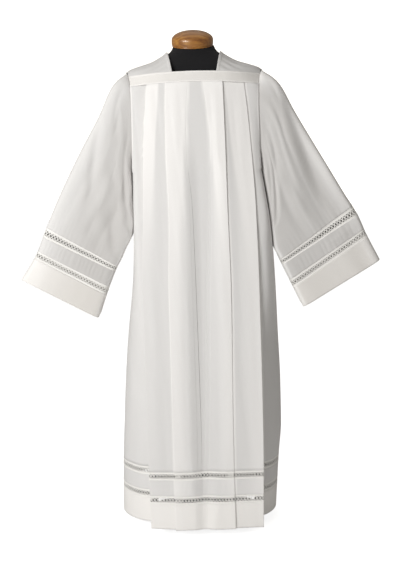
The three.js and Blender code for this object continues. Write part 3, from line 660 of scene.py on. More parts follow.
def foldCorners(face, z):
    # The corners of every fold from left to right, four to a fold. Each holds x, y, its rounding, the number
    # of steps to the next corner and the crown of that stretch.
    depth = lambda column: curveAt(faceDepths[face], "z", column, z)
    reach = lambda column: curveAt(foldReach, "z", column, z)
    edge = {name: curveAt(pleatEdges, "z", name, z) for name in "abcdef"}
    middle, step = depth("middle"), curveAt(foldSteps, "z", "step", z)
    whole = smooth(*pleatFade, z)
    shape = foldShape
    corners = []

    def fold(facing, x, y, step, turn, under, rounding, last):
        inward = -facing * under
        run = [(x + inward, y + step, rounding, 1, 0),
               (x + inward, y + step - turn, rounding, panelSize["foldSteps"], 0),
               (x, y + turn, rounding, 1, 0), (x, y, rounding, 0, 0)]
        if facing > 0:
            run = [corner[:3] for corner in run[::-1]]
            run = [run[0] + (1, 0), run[1] + (panelSize["foldSteps"], 0), run[2] + (1, 0), run[3] + (0, 0)]
        run[-1] = run[-1][:3] + last
        corners.extend(run)

    turn = shape["turn"] * step  # the folded layer lies halfway down the step
    outerLeft = middle + depth("step") + depth("fallLeft") * shape["leftFall"] - shape["leftForward"]
    outerRight = middle + depth("step") + depth("fallRight") * shape["rightFall"] - shape["rightForward"]
    outerRight = outerRight + shape["rightBack"] * smooth(*shape["backFrom"], z)
    sideLeft = depth("sideLeft") + depth("step") + depth("fallLeft") - (outerLeft - middle)
    sideRight = depth("sideRight") + depth("step") + depth("fallRight") - (outerRight - middle)
    leftTurn, rightTurn = (np.minimum(turn, shape["sideTurn"] * side) for side in (sideLeft, sideRight))
    valley = np.maximum(shape["least"], shape["valleyStep"] * step * whole)
    valleyTurn = shape["valleyTurn"] * valley
    soft = np.minimum(curveAt(valleyRounding, "z", "radius", z), 2 + 20 * (1 - whole))
    pressed = np.full_like(z, panelSize["pressed"])
    panel = (panelSize["panelSteps"], panelSize["crown"])
    narrow = (panelSize["narrowSteps"], panelSize["narrowCrown"])
    hollow = (panelSize["panelSteps"], panelSize["hollowCrown"])
    fold(-1, edge["a"], outerLeft, sideLeft, leftTurn, reach("outer"), pressed, panel)
    fold(-1, edge["b"], middle, step, turn, reach("outer"), pressed, panel)
    fold(1, edge["c"], middle, valley, valleyTurn, reach("valley"), soft, (panelSize["valleySteps"], 0))
    fold(-1, edge["d"], middle, valley, valleyTurn, reach("valley"), soft, narrow)
    fold(1, edge["e"], middle, step, turn, reach("outer"), pressed, hollow)
    fold(1, edge["f"], outerRight, sideRight, rightTurn, reach("outer"), pressed, (0, 0))
    return corners


def sideCurve(face, side, z, corner):
    # From the seam to the first fold: a quarter of a superellipse in each row, tilted back to the sleeve.
    seamX = sideSign[side] * (armholeHalf(z) - panelSize["seamGap"])
    seamX = np.where(z >= armhole["bottom"], seamX, curveAt(sideSeams, "z", side, z))
    seamY = np.minimum(-armholeDepth(z), -panelSize["sideGap"])
    power = curveAt(sideRounding, "z", "power", z)[:, None]
    t = np.linspace(0, 1, panelSize["sideSteps"] + 1)[:-1][None, :] * np.pi / 2
    share = np.cos(t) ** (2 / power)
    x = mix(corner[0][:, None], seamX[:, None], share)
    tilt = 1 - share * curveAt(sideTilt, "z", side, z)[:, None] * (face == "front")
    return np.stack([x, mix(seamY[:, None], corner[1][:, None] * tilt, np.sin(t) ** (2 / power))], -1)


def roundings(points, radii, before, after):
    # Where the rounding of each corner starts and ends: its radius along both stretches, or 0.46 of them.
    ends = []
    for i, point in enumerate(points):
        toBefore = (points[i - 1] if i else before) - point
        toAfter = (points[i + 1] if i < len(points) - 1 else after) - point
        lb, la = np.linalg.norm(toBefore, axis=1), np.linalg.norm(toAfter, axis=1)
        rb, ra = np.minimum(radii[i], 0.46 * lb), np.minimum(radii[i], 0.46 * la)
        ends.append((point + toBefore * (rb / lb)[:, None], point + toAfter * (ra / la)[:, None]))
    return ends


def pleatedSurface(face, z, arched):
    # Rows of points from the left to the right seam at heights z. Each row is a line through the turns of
    # the folds, with every corner rounded by a quadratic curve; the panels are crowned between their edges.
    # Gives the points and how free each one is to move: 0 in a fold and at the seams, 1 on a panel.
    z = np.asarray(z, float)
    corners = foldCorners(face, z)
    points = [np.stack([c[0] + 0 * z, c[1] + 0 * z], -1) for c in corners]
    leftSide = sideCurve(face, "left", z, corners[0])
    rightSide = sideCurve(face, "right", z, corners[-1])[:, ::-1]
    ends = roundings(points, [c[2] for c in corners], leftSide[:, -1], rightSide[:, 0])
    whole = smooth(*pleatFade, z)
    columns = [leftSide]
    free = [np.ones(panelSize["sideSteps"])]
    for i, (start, end) in enumerate(ends):
        for t in np.linspace(0, 1, panelSize["turnSteps"] + 1):
            columns.append(((1 - t) ** 2 * start + 2 * t * (1 - t) * points[i] + t * t * end)[:, None])
            free.append([0.0])
        steps, crown = corners[i][3:]
        if steps > 1:
            t = np.linspace(0, 1, steps + 1)[1:-1]
            line = end[:, None] + (ends[i + 1][0] - end)[:, None] * t[None, :, None]
            height = crown * (mix(0.3, 1, whole) if crown > 0 else mix(1, 0.25, whole))[:, None]
            line[..., 1] -= height * (4 * t * (1 - t))[None, :] ** 0.8
            columns.append(line)
            free.append(np.sin(np.pi * t) ** 0.5 if crown else np.zeros(len(t)))
    columns.append(rightSide)
    free.append(np.ones(panelSize["sideSteps"]))
    plan = np.concatenate(columns, 1)
    side = panelSize["sideSteps"]
    ramp = np.ones(plan.shape[1])
    ramp[:side] = np.sin(np.linspace(0, 0.5, side) * np.pi) ** 0.7  # still at the seam with the other face
    ramp[-side:] = ramp[:side][::-1]
    free = (np.concatenate(free)[None, :] + 0 * plan[..., 0]) * ramp[None, :]
    x, y = plan[..., 0], plan[..., 1]
    x0, x1, x2, x3, deep = (curveAt(troughs[face], "z", name, z)[:, None]
                            for name in ("x0", "x1", "x2", "x3", "depth"))
    y = y + deep * smooth(x0, x1, x) * (1 - smooth(x2, x3, x))
    zz = z[:, None] + 0 * x
    if arched:  # the upper rows bend up to the yoke band's lower edge
        archFrom = armhole["bottom"] + 60
        share = np.maximum(0, (zz - archFrom) / (yoke[face]["end"] - archFrom))
        zz = zz + (yokeLowZ(face, x) - yoke[face]["end"]) * share ** 2
    return np.stack([x, y, zz], -1), free


# Which way the folded layer lies from each edge, how wide it is, and how much of it shows low on the skirt.
# Its whitening stands partly for the doubled cloth and partly for painted light that lifts the shade beside
# the edges.
foldBackingAndLight = tableOf("way width low", [
    [1, 38, 0.15], [1, 58, 0.75], [-1, 36, 0], [1, 34, 0], [-1, 44, 0.6], [-1, 64, 0.6]])
backing = {"high": [750, 1250], "doubled": 0.95, "doubledWidth": [3, 10], "wide": [0.85, 1],
           "low": [0.1, 1.2]}


# Whiter cloth beside the pressed edges: partly the folded layer behind, partly painted light that lifts the
# shade there.
def backedAndLitShare(grid, z):  # 1 beside a pressed edge, where the folded layer lies behind, 0 where that layer ends
    x, total = grid[..., 0], 0
    z = np.asarray(z, float)[:, None]
    high = smooth(*backing["high"], z)
    fadeFrom, fadeTo = (mix(backing["low"][i], backing["wide"][i], high) for i in (0, 1))
    for i, name in enumerate("abcdef"):
        way, width, low = (foldBackingAndLight[key][i] for key in ("way", "width", "low"))
        beyond = x - curveAt(pleatEdges, "z", name, z)
        off = beyond * way / width
        fading = name in "cd"
        share = mix(low, 1, smooth(*pleatFade, z) if fading else high)
        if way < 0:  # painted light: the cloth under a fold that faces right is doubled close to the edge and whitened to lift the shadow
            doubled = backing["doubled"] * (1 - smooth(*backing["doubledWidth"], beyond)) * (beyond > -1)
            total = np.maximum(total, doubled * (share if fading else 1))
        startsAt = (-0.25, 0.05) if fading else (-0.07, -0.01)
        total = np.maximum(total, smooth(*startsAt, off) * (1 - smooth(fadeFrom, fadeTo, off)) * share)
    return total


def outwardNormals(grid, sign):  # normals that point to -Y (sign -1) or +Y (1) in the panel's middle column
    normals = gridNormals(grid, False)
    return normals * (sign if np.sum(normals[:, grid.shape[1] // 2, 1]) > 0 else -sign)


def puckers(s, level, seed):  # small upright ripples near a seam: uneven sines along it that die away from it
    ripple = np.sin(2 * np.pi * s / 13 + 3 * wander(s, seed, 90)) * (0.6 + 0.4 * wander(s, seed + 5, 50))
    return ripple * level


panelRelief = {"creases": 0.45, "slow": 0.35, "slowLength": 70, "front": 11, "back": 12, "puckers": 21}


def relieved(face, grid, free):  # the panel with its creases and a slow unevenness, and puckers by the laces
    x, z = grid[..., 0], grid[..., 2]
    slow = wander(x * 1.1 + z * 0.12, panelRelief[face], panelRelief["slowLength"])
    relief = panelRelief["creases"] * creaseField(panelCreases[face], x, z, "x0 z0 x1 z1")
    relief = relief + panelRelief["slow"] * slow
    onMidBand = (z < cut["hemZ"] + midTop) & (z > cut["hemZ"] + midLow)
    nearLace = np.exp(-np.abs(z - skirtTopZ) / 22) * 0.5 * (z > skirtTopZ) + 0.45 * onMidBand
    relief = relief + puckers(rowLengths(grid), nearLace, panelRelief["puckers"])
    return grid + outwardNormals(grid, -1) * (relief * free)[..., None]


def turnedBack(grid, face):  # the back is made as a front and turned to the other side
    return grid * [1, -1, 1] if face == "back" else grid


# The side seams' whitening near the sleeves is painted light that lifts the shade in the groove there.
allowance = {"width": 6.0, "thick": 0.8, "backing": 0.6, "sideGrooveLight": 0.9, "sideColumns": 8}


def armholeStrip(grid):  # the seam allowance along the armhole stands proud of the panel
    fromLeft = np.linalg.norm(grid - grid[:, :1], axis=2)
    fromRight = np.linalg.norm(grid - grid[:, -1:], axis=2)
    near = np.minimum(fromLeft, fromRight)
    up = smooth(armhole["bottom"] - 6, armhole["bottom"] + 6, grid[..., 2])
    return allowance["thick"] * (1 - smooth(allowance["width"], allowance["width"] + 1.2, near)) * up


def panel(face):  # rows are closer near the band and the armhole, where the cloth changes fastest
    top = yoke[face]["end"] + panelSize["topGap"]
    upper = np.linspace(top, panelSize["upperZ"], panelSize["upperRows"], endpoint=False)
    lower = np.linspace(panelSize["upperZ"], skirtTopZ + 0.1, panelSize["rows"] - panelSize["upperRows"])
    z = np.concatenate([upper, lower])
    grid, free = pleatedSurface(face, z, True)
    strip = armholeStrip(grid)
    grid = relieved(face, grid, free * smooth(0, 22, top - z)[:, None])
    layersAndPaintedLight = np.maximum(backedAndLitShare(grid, z), allowance["backing"] * np.clip(strip, 0, 1))
    grooveLight = allowance["sideGrooveLight"] * (smooth(840, 900, z) * (1 - smooth(1112, 1122, z)))[:, None]
    for ends in (slice(None, allowance["sideColumns"]), slice(-allowance["sideColumns"], None)):
        layersAndPaintedLight[:, ends] = np.maximum(layersAndPaintedLight[:, ends], grooveLight)  # painted light in the groove by the sleeves, over the side seams' allowances that back the cloth too
    sewnPiece(face + "_panel", turnedBack(grid, face), cut["cloth"] + strip, "singleCloth",
              layersAndPaintedLight=layersAndPaintedLight)


def skirtStrip(face, node, low, high, thick, finish, rows):
    z = np.linspace(cut["hemZ"] + high, cut["hemZ"] + low, rows)
    grid, free = pleatedSurface(face, z, False)
    layersAndPaintedLight = backedAndLitShare(grid, z)
    grid = turnedBack(relieved(face, grid, free), face)
    sewing = []
    if node == "hem":  # topstitched a little below its upper edge
        normals = outwardNormals(grid, faceSign[face])
        row = grid[0] + (grid[1] - grid[0]) * 0.8
        sewing = [stitches(face + "HemStitching", row + normals[0] * thick / 2, normals[0])]
    sewnPiece(f"{face}_{node}", grid, thick, finish, layersAndPaintedLight=layersAndPaintedLight)


for face in ("front", "back"):
    panel(face)
    skirtStrip(face, "hem", 0, cut["hemDepth"], cut["doubled"], "doubledCloth", 16)
    skirtStrip(face, "mid_band", midLow, midTop, cut["cloth"], "singleCloth", 12)
print("front and back made")

# Stations of each sleeve from the armhole to the cuff: upper and lower edge, and depth to the front and back.
sleeveColumns = "topX topZ lowX lowZ front back y"
sleeves = {
    "left": tableOf(sleeveColumns, [
        [-205, 1417, -196, 1119, 88, 88, 0], [-243, 1377, -200, 1050, 92, 86, 0],
        [-290, 1285, -200.2, 985, 90, 84, -2], [-345, 1190, -202.5, 930, 85, 80, -4],
        [-400, 1088, -224, 884, 80, 76, -6], [-440, 1008, -240, 850, 76, 73, -8],
        [-469, 942, -254, 826, 73, 71, -10], [-498, 875, -285, 756, 74, 72, -12],
        [-545, 802, -314, 676, 78, 74, -14]]),
    "right": tableOf(sleeveColumns, [
        [205, 1417, 196, 1119, 88, 88, 0], [252, 1374, 210.5, 1050, 92, 86, 0],
        [296, 1294, 219.4, 985, 93, 84, -2], [351, 1200, 226.2, 925, 92, 82, -4],
        [405, 1108, 230.6, 880, 90, 80, -6], [450, 1032, 242, 856, 87, 78, -8],
        [484, 978, 253, 831, 84, 76, -10], [511, 919, 284, 765, 84, 77, -12],
        [553, 837, 317, 696, 86, 78, -14]]),
}
sleevePower = {"upperFront": 11, "upperBack": 3.2, "lowerFront": 12, "lowerBack": 6}  # how square a ring is
# Beside the body the front of a sleeve comes forward to meet the panel, and laps over the groove there.
sleeveLap = {
    "width": {"left": 4, "right": 1.5}, "forward": {"left": 1.5, "right": 2},
    "ends": {"left": (0.42, 0.56), "right": (0.5, 0.68)},
}
# Main folds of the sleeves, on the front (face 1) or the back (-1): from and to run 0 at the armhole to 1 at
# the upper lace, up runs 1 at the upper edge to -1 at the lower edge, and depth is how far the cloth goes in.
foldColumns = "face from to upFrom upTo halfUpper halfLower depth"
sleeveFolds = {
    "left": tableOf(foldColumns, [
        [1, 0.3, 1.05, 0.98, -0.38, 0.14, 0.2, 6], [1, 0.1, 0.92, 0.45, -0.82, 0.14, 0.22, 8],
        [1, 0.02, 0.58, -0.1, -0.92, 0.16, 0.2, 5], [-1, 0.05, 1.0, 0.5, 0.1, 0.25, 0.16, 9],
        [-1, 0.1, 0.95, -0.2, -0.5, 0.2, 0.16, 7]]),
    "right": tableOf(foldColumns, [
        [1, 0.02, 1.12, 1.2, 0.32, 0.44, 0.26, 17], [1, 0.08, 1.06, 0.52, -0.12, 0.12, 0.09, 4],
        [1, 0.03, 0.6, -0.1, -0.8, 0.12, 0.12, 6], [-1, 0.05, 1.0, 0.55, 0.1, 0.26, 0.15, 9],
        [-1, 0.1, 0.95, -0.15, -0.5, 0.2, 0.16, 7]]),
}
# Finer creases of the sleeves: down runs 0 at the armhole to 1 at the upper lace, angles in degrees.
sleeveCreases = {
    "left": tableOf("d0 g0 d1 g1 half depth", [
        [0.02, 118, 0.50, 140, 7, -1.7], [0.03, 132, 0.40, 158, 7, -1.5], [0.00, 100, 0.32, 124, 6, -1.5],
        [0.10, 150, 0.62, 128, 6, 2.2], [0.30, 96, 0.95, 84, 7, 2.6], [0.45, 60, 0.98, 52, 7, -2.2],
        [0.02, 40, 0.22, 64, 5, -1.8], [0.02, 24, 0.30, 34, 5, 1.5], [0.55, 120, 0.99, 112, 6, -2.4],
        [0.05, 250, 0.5, 232, 6, -2.6], [0.30, 275, 0.95, 290, 7, 2.4], [0.50, 320, 0.98, 310, 7, -2.0],
        [0.03, 222, 0.42, 208, 5, -2.4], [0.1, 168, 0.8, 174, 6, -2.0]]),
    "right": tableOf("d0 g0 d1 g1 half depth", [
        [0.02, 120, 0.45, 150, 7, -1.9], [0.03, 104, 0.60, 128, 7, 1.9], [0.05, 66, 0.70, 84, 6, 3.2],
        [0.00, 86, 0.28, 106, 6, -1.7], [0.25, 30, 0.95, 44, 7, 2.2], [0.40, 112, 0.98, 108, 7, -2.8],
        [0.02, 30, 0.20, 50, 5, -1.8], [0.60, 70, 0.99, 74, 6, -2.2], [0.55, 92, 0.99, 92, 5, 1.8],
        [0.05, 248, 0.5, 232, 6, -2.6], [0.30, 275, 0.95, 288, 7, 2.4], [0.50, 320, 0.98, 310, 7, -2.0],
        [0.03, 222, 0.42, 208, 5, -2.4], [0.1, 170, 0.8, 176, 6, -2.0]]),
}
# Painted shade and light on each sleeve from its upper to its lower edge: the share of the hollow's grey
# colour, for the single cloth over the empty sleeve and for painted shade from the body and the folds; below
# 0 a painted highlight.
sleeveShadeShares = {
    "left": tableOf("up share", [
        [1, -0.25], [0.7, 0.0], [0.4, 0.4], [0, 0.6], [-0.5, 0.8], [-0.93, 0.7], [-1, -0.4]]),
    "right": tableOf("up share", [
        [1, -1], [0.85, -0.5], [0.68, 0.4], [0.5, 0.65], [0.3, 0.5], [0, 0.5], [-0.6, 0.6], [-0.93, 0.6],
        [-1, -0.5]]),
}
sleeveSize = {"turns": 216, "rows": 104, "fineTurns": 1441, "creaseLength": 120, "girth": 650, "seamGap": 0.3}
sleeveRelief = {"slow": 0.9, "slowLength": 120, "midBand": 0.7, "nearLace": 0.9, "laceReach": 26}
sleeveSeed = {"left": 31, "right": 37}


def sleeveStations(side):  # the stations from cuff to armhole, with the distance along their middle line
    stations = {name: values[::-1] for name, values in sleeves[side].items()}
    mx, mz = (stations["topX"] + stations["lowX"]) / 2, (stations["topZ"] + stations["lowZ"]) / 2
    stations["length"] = np.concatenate([[0], np.cumsum(np.hypot(np.diff(mx), np.diff(mz)))])
    return stations


def foldedIn(side, down, up, out):  # how far the main folds take the cloth in: a Gaussian across each of them
    folds = sleeveFolds[side]
    inwards = 0
    for i in range(len(folds["from"])):
        t = np.clip((down - folds["from"][i]) / (folds["to"][i] - folds["from"][i]), 0, 1)
        off = up - mix(folds["upFrom"][i], folds["upTo"][i], t)
        off = off / np.where(off > 0, folds["halfUpper"][i], folds["halfLower"][i])
        onFace = (np.sign(out) == folds["face"][i]) * folds["depth"][i]
        inwards = inwards + onFace * np.sin(np.pi * t) ** 0.7 * np.exp(-off * off)
    return inwards


def fineRelief(side, length, down, degrees):  # finer creases, puckers by the laces and a slow unevenness
    table = dict(sleeveCreases[side])
    scale = sleeveSize["creaseLength"]  # so that both ways have like sizes
    table["d0"], table["d1"] = table["d0"] * scale, table["d1"] * scale
    relief = creaseField(table, down * scale + 0 * degrees, degrees + 0 * down, "d0 g0 d1 g1")
    relief = relief * smooth(0, 0.06, down) * (1 - smooth(0.985, 1.0, down))
    s = degrees / 360 * sleeveSize["girth"]
    onMidBand = (length < midTop) & (length > midLow)
    nearLace = sleeveRelief["nearLace"] * np.exp(-np.abs(length - laceTop) / sleeveRelief["laceReach"])
    level = sleeveRelief["midBand"] * onMidBand + nearLace * (down <= 1)
    relief = relief + puckers(s, level, sleeveSeed[side])
    slow = wander(s + 60 * down, sleeveSeed[side] + 2, sleeveRelief["slowLength"])
    return relief + sleeveRelief["slow"] * slow * np.clip(down * 4, 0, 1)


def ringNormals(grid):  # normals of a tube that point away from the middle of each ring
    normals = gridNormals(grid, True)
    return normals * np.sign(np.sum(normals * (grid - grid.mean(axis=1, keepdims=True))))


def sleeveSurface(side, length):
    # A ring for each distance from the cuff: a superellipse between the upper and the lower edge, squarest on
    # its front, pushed in by the folds, with its points the same distance apart, then moved along its normals
    # by the finer creases.
    stations = sleeveStations(side)
    length = np.asarray(length, float)[:, None]
    get = lambda column: curveAt(stations, "length", column, length)
    full = stations["length"][-1]
    down = (full - length) / (full - laceTop)
    atArmhole = np.maximum(0, 1 - down * 3)
    angle = np.linspace(0, 2 * np.pi, sleeveSize["fineTurns"])[None, :]
    upper = np.where(np.sin(angle) > 0, sleevePower["upperFront"], sleevePower["upperBack"])
    lower = np.where(np.sin(angle) > 0, sleevePower["lowerFront"], sleevePower["lowerBack"])
    power = mix(np.where(np.cos(angle) > 0, upper, lower), armhole["power"], atArmhole ** 3)
    up = signedPower(np.cos(angle), 2 / power)
    out = signedPower(np.sin(angle), 2 / power)
    beside = smooth(0.02, 0.14, down) * (1 - smooth(0.4, 0.75, down)) * smooth(-0.1, 0.9, -up)
    front = get("front") + sleeveLap["forward"][side] * beside
    bulge = np.where(out > 0, front, get("back")) - foldedIn(side, down, up, out)
    mx, mz = (get("topX") + get("lowX")) / 2, (get("topZ") + get("lowZ")) / 2
    x = mx + (get("topX") - get("lowX")) * up / 2
    z = mz + (get("topZ") - get("lowZ")) * up / 2
    armX = sideSign[side] * (armholeHalf(z) + sleeveSize["seamGap"])
    x = mix(x, armX, atArmhole ** 12)
    lap = smooth(0.02, 0.12, down) * (1 - smooth(*sleeveLap["ends"][side], down))
    lap = lap * smooth(0.45, 0.95, out) * smooth(0.45, 0.85, -up)
    x = x - sideSign[side] * sleeveLap["width"][side] * lap
    ring = np.stack(np.broadcast_arrays(x, get("y") - out * bulge, z), -1)
    share = np.linspace(0, 1, sleeveSize["turns"] + 1)[:-1]
    grid = np.array([[np.interp(share * arc[-1], arc, row[:, i]) for i in range(3)]
                     for arc, row in zip(rowLengths(ring), ring)]).transpose(0, 2, 1)
    relief = fineRelief(side, length, down, share[None, :] * 360)
    return grid + ringNormals(grid) * relief[..., None]


# Painted shade and painted highlight of the sleeves, their mid bands and cuffs.
def sleeveLightAndShade(side, grid):  # minus the share, read by how far up its ring each point lies
    half = grid.shape[1] // 2
    axis = grid[:, :1] - grid[:, half:half + 1]
    centre = (grid.max(1, keepdims=True) + grid.min(1, keepdims=True)) / 2
    up = np.sum((grid - centre) * axis, 2) / np.sum(axis * axis, 2) * 2
    return -curveAt(sleeveShadeShares[side], "up", "share", up)


def sleeve(side):  # rows are closer near the armhole
    t = np.linspace(0, 1, sleeveSize["rows"])
    length = mix(sleeveStations(side)["length"][-1], laceTop + 0.1, mix(t, t ** 1.6, 0.35))
    grid = sleeveSurface(side, length)
    sewnPiece(side + "_sleeve", grid, cut["cloth"], "singleCloth", True,
              layersAndPaintedLight=sleeveLightAndShade(side, grid))


def sleeveStrip(side, node, low, high, thick, finish, rows):
    grid = sleeveSurface(side, np.linspace(high, low, rows))
    sewing = []
    if node == "cuff":  # topstitched a little below its upper edge
        normals = ringNormals(grid)
        ring = grid[0] + (grid[1] - grid[0]) * 0.9 + normals[0] * thick / 2
        sewing = [stitches(side + "CuffStitching", closedRow(ring), closedRow(normals[0]))]
    sewnPiece(f"{side}_sleeve_{node}", grid, thick, finish, True,
              sleeveLightAndShade(side, grid))


for side in ("left", "right"):
    sleeve(side)
    sleeveStrip(side, "cuff", 0, cut["hemDepth"], cut["doubled"], "doubledCloth", 18)
    sleeveStrip(side, "mid_band", midLow, midTop, cut["cloth"], "singleCloth", 14)
print("sleeves made")

# The tapes, the cord along their edges, a diamond of the net, its bars, and the threads' thickness.
laceSize = {"tape": 6.4, "cord": 0.5, "cordWidth": 0.9, "unit": 9.6, "bar": 3.0, "thin": 0.7, "overlap": 0.6,
            "crossing": 0.12, "solid": 0.72, "rows": 6}


def carried(surface, normals, along, down, off, closedRound):
    # Carries flat lace onto the cloth: along is arc length, down goes from 0 to 1 over the strip, off is
    # the height above it. Places and normals are read between the grid's points.
    rows, columns = surface.shape[:2]
    if closedRound:
        surface = np.concatenate([surface, surface[:, :1]], 1)
        normals = np.concatenate([normals, normals[:, :1]], 1)
        columns += 1
    column = np.interp(along, arcLength(surface[rows // 2]), np.arange(columns))
    c0 = np.clip(column.astype(int), 0, columns - 2)
    fc = (column - c0)[..., None]
    row = np.clip(down, 0, 1) * (rows - 1)
    r0 = np.clip(row.astype(int), 0, rows - 2)
    fr = (row - r0)[..., None]
    between = lambda g, c: g[r0, c] * (1 - fr) + g[r0 + 1, c] * fr
    read = lambda g: between(g, c0) * (1 - fc) + between(g, c0 + 1) * fc
    return read(surface) + read(normals) * off[..., None]


def laceTape(surface, normals, closedRound, depth, at, shift):
    # A flat closed profile of (down, off) with a cord at both edges, carried along the strip.
    tape, thin, cord = laceSize["tape"] / depth, laceSize["thin"] / 2, laceSize["cord"]
    c = laceSize["cordWidth"] / depth
    profile = np.array([
        [0, -thin], [tape, -thin], [tape, thin], [tape - c / 2, thin + cord],
        [tape - c, thin], [c, thin], [c / 2, thin + cord], [0, thin]]) + [shift, 0]
    along = at[:-1] if closedRound else at
    n, m = len(along), len(profile)
    down, off = np.tile(profile[:, 0], n), np.tile(profile[:, 1], n)
    points = carried(surface, normals, np.repeat(along, m), down, off, closedRound)
    grid = np.arange(n * m).reshape(n, m)
    if closedRound:
        grid = closedRow(grid)
    across = np.roll(grid, -1, 1)
    faces = np.stack([grid[:-1].ravel(), grid[1:].ravel(), across[1:].ravel(), across[:-1].ravel()], 1)
    if not closedRound:  # both ends are closed by three quads each
        ends = [[row[0], row[k], row[k + 1], row[k + 2]][::turn]
                for row, turn in ((grid[0], -1), (grid[-1], 1)) for k in range(1, m - 2, 2)]
        faces = np.concatenate([faces, np.array(ends)])
    return points, facingOut(points, faces)


def laceBars(surface, normals, closedRound, depth, total, slant):
    # One bar for each unit, down and along it from tape to tape, over or under the bars that cross it.
    units = max(1, int(round(total / laceSize["unit"])))
    width = total / units
    half, thin, tape = laceSize["bar"] / 2, laceSize["thin"] / 2, laceSize["tape"] / depth
    corner = np.array([[-half, -thin], [half, -thin], [half, thin], [-half, thin]])[None, None]
    t = np.linspace(0, 1, 5)
    starts = (np.arange(units) * width)[:, None, None]
    a = starts + (t if slant > 0 else 1 - t)[None, :, None] * width + corner[..., 0]
    d = mix(tape * 0.9, 1 - tape * 0.9, t)[None, :, None] + 0 * a
    o = corner[..., 1] + slant * laceSize["crossing"] + 0 * a
    a = np.mod(a, total) if closedRound else np.clip(a, 0.01, total - 0.01)
    points = carried(surface, normals, a.ravel(), d.ravel(), o.ravel(), closedRound)
    caps = np.array([[3, 2, 1, 0], [16, 17, 18, 19]])
    one = facingOut(points[:20], np.concatenate([gridFaces(5, 4, True), caps]))
    return points, (one[None] + (np.arange(units) * 20)[:, None, None]).reshape(-1, 4)


def laceInsertion(node, surface, normals, closedRound):
    # Two tapes with a cord along each edge, and between them crossing bars that leave open diamonds.
    depth = cut["laceDepth"] + 2 * laceSize["overlap"]
    middleRow = surface[len(surface) // 2]
    at = arcLength(closedRow(middleRow) if closedRound else middleRow)
    total = at[-1]
    shifts = (0, 1 - laceSize["tape"] / depth)
    parts = [laceTape(surface, normals, closedRound, depth, at, shift) for shift in shifts]
    parts += [laceBars(surface, normals, closedRound, depth, total, slant) for slant in (1, -1)]
    starts = np.cumsum([0] + [len(points) for points, faces in parts])
    points = np.concatenate([points for points, faces in parts])
    faces = np.concatenate([faces + start for (_, faces), start in zip(parts, starts)])
    obj = meshObject(camel(node), points, faces.tolist(), points[:, [0, 2]] / 1000)
    finishPiece(obj, finishes["laceThread"], "lace", node)


def laceRows(low):  # heights of a strip of lace from its top to its foot, with what laps over its neighbours
    overlap = laceSize["overlap"]
    return np.linspace(low + cut["laceDepth"] + overlap, low - overlap, laceSize["rows"])


for label, low in (("lower_lace", cut["hemDepth"]), ("upper_lace", midTop)):
    for face in ("front", "back"):
        grid, free = pleatedSurface(face, laceRows(cut["hemZ"] + low), False)
        grid = turnedBack(relieved(face, grid, free), face)
        laceInsertion(f"{face}_{label}", grid, outwardNormals(grid, faceSign[face]), False)
    for side in ("left", "right"):
        grid = sleeveSurface(side, laceRows(low))
        laceInsertion(f"{side}_sleeve_{label}", grid, ringNormals(grid), True)
print("lace made")

form = {"power": 2.25, "y": 1, "low": 762, "chest": 1395, "top": 1490, "tilt": math.radians(12),
        "tiltFrom": 1470, "columns": 96}
formRings = tableOf("z half front back", [
    [762, 164, 98, 98], [860, 164, 98, 98], [960, 154, 95, 90], [1040, 150, 96, 84],
    [1120, 155, 100, 84], [1210, 165, 104, 88], [1290, 176, 104, 91], [1350, 186, 101, 88],
    [1395, 191, 97, 81], [1412, 190, 93, 75], [1422, 184, 89, 70], [1432, 162, 84, 66],
    [1442, 131, 77, 63], [1459, 98, 64, 59], [1469, 78, 59, 57], [1480, 67, 56, 57], [1490, 62, 54, 56]])


def closedRings(name, rings, finish, slot, node):  # rings from bottom to top, closed by a point at each end
    rows, columns = rings.shape[:2]
    points = np.concatenate([rings.reshape(-1, 3), rings[0].mean(0)[None], rings[-1].mean(0)[None]])
    wall = gridFaces(rows, columns, True)
    c = np.arange(columns)
    n = (c + 1) % columns
    low, high, base = rows * columns, rows * columns + 1, (rows - 1) * columns
    bottom = np.stack([np.full(columns, low), n, c], 1)
    top = np.stack([np.full(columns, high), base + c, base + n], 1)
    a, b, d = points[wall[:, 0]], points[wall[:, 1]], points[wall[:, 2]]
    turn = 1 if np.sum(np.cross(b - a, d - a) * (a - points.mean(0))) > 0 else -1
    faces = wall[:, ::turn].tolist() + np.concatenate([bottom, top])[:, ::turn].tolist()
    around = np.concatenate([np.tile(np.arange(columns) / columns, rows), [0, 0]])
    uv = np.stack([around * 0.9, points[:, 2] / 1000], 1)  # 0.9 m round, so the knit keeps its scale
    return finishPiece(meshObject(name, points, faces, uv), finishes[finish], slot, node)


def formSurface():  # superellipse rings of the torso and neck, the neck's top leans forward
    low, chest, high = form["low"], form["chest"], form["top"]
    z = np.concatenate([
        [low] * 3, np.linspace(low + 3, chest, 90), np.linspace(chest + 2, high, 70), [high] * 2])
    inset = np.ones(len(z))
    inset[:3] = [0.5, 0.9, 0.985]
    inset[-2:] = [0.9, 0.5]
    half, front, back = (curveAt(formRings, "z", name, z) for name in ("half", "front", "back"))
    angle = np.linspace(0, 2 * np.pi, form["columns"] + 1)[:-1][None, :]
    deep = signedPower(np.sin(angle), 2 / form["power"])
    x = (half * inset)[:, None] * signedPower(np.cos(angle), 2 / form["power"])
    y = form["y"] + deep * np.where(deep > 0, back[:, None], front[:, None]) * inset[:, None]
    tilt = np.maximum(0, (z - form["tiltFrom"]) / (high - form["tiltFrom"]))[:, None]
    zz = z[:, None] + tilt * math.tan(form["tilt"]) * y
    return np.stack(np.broadcast_arrays(x, y, zz), -1)


body = closedRings("formBody", formSurface(), "jersey", "form_cover", "form_body")

capSize = {"half": 63, "front": 56, "side": 20, "height": 48, "groove": 1.2, "x": -3}


def lathed(profile, columns=96):  # a profile of (radius, height) turned round the upright axis
    angle = np.linspace(0, 2 * np.pi, columns + 1)[:-1][None, :]
    r, h = (values[:, None] for values in np.array(profile, float).T)
    return np.stack(np.broadcast_arrays(r * np.cos(angle), r * np.sin(angle), h), -1)


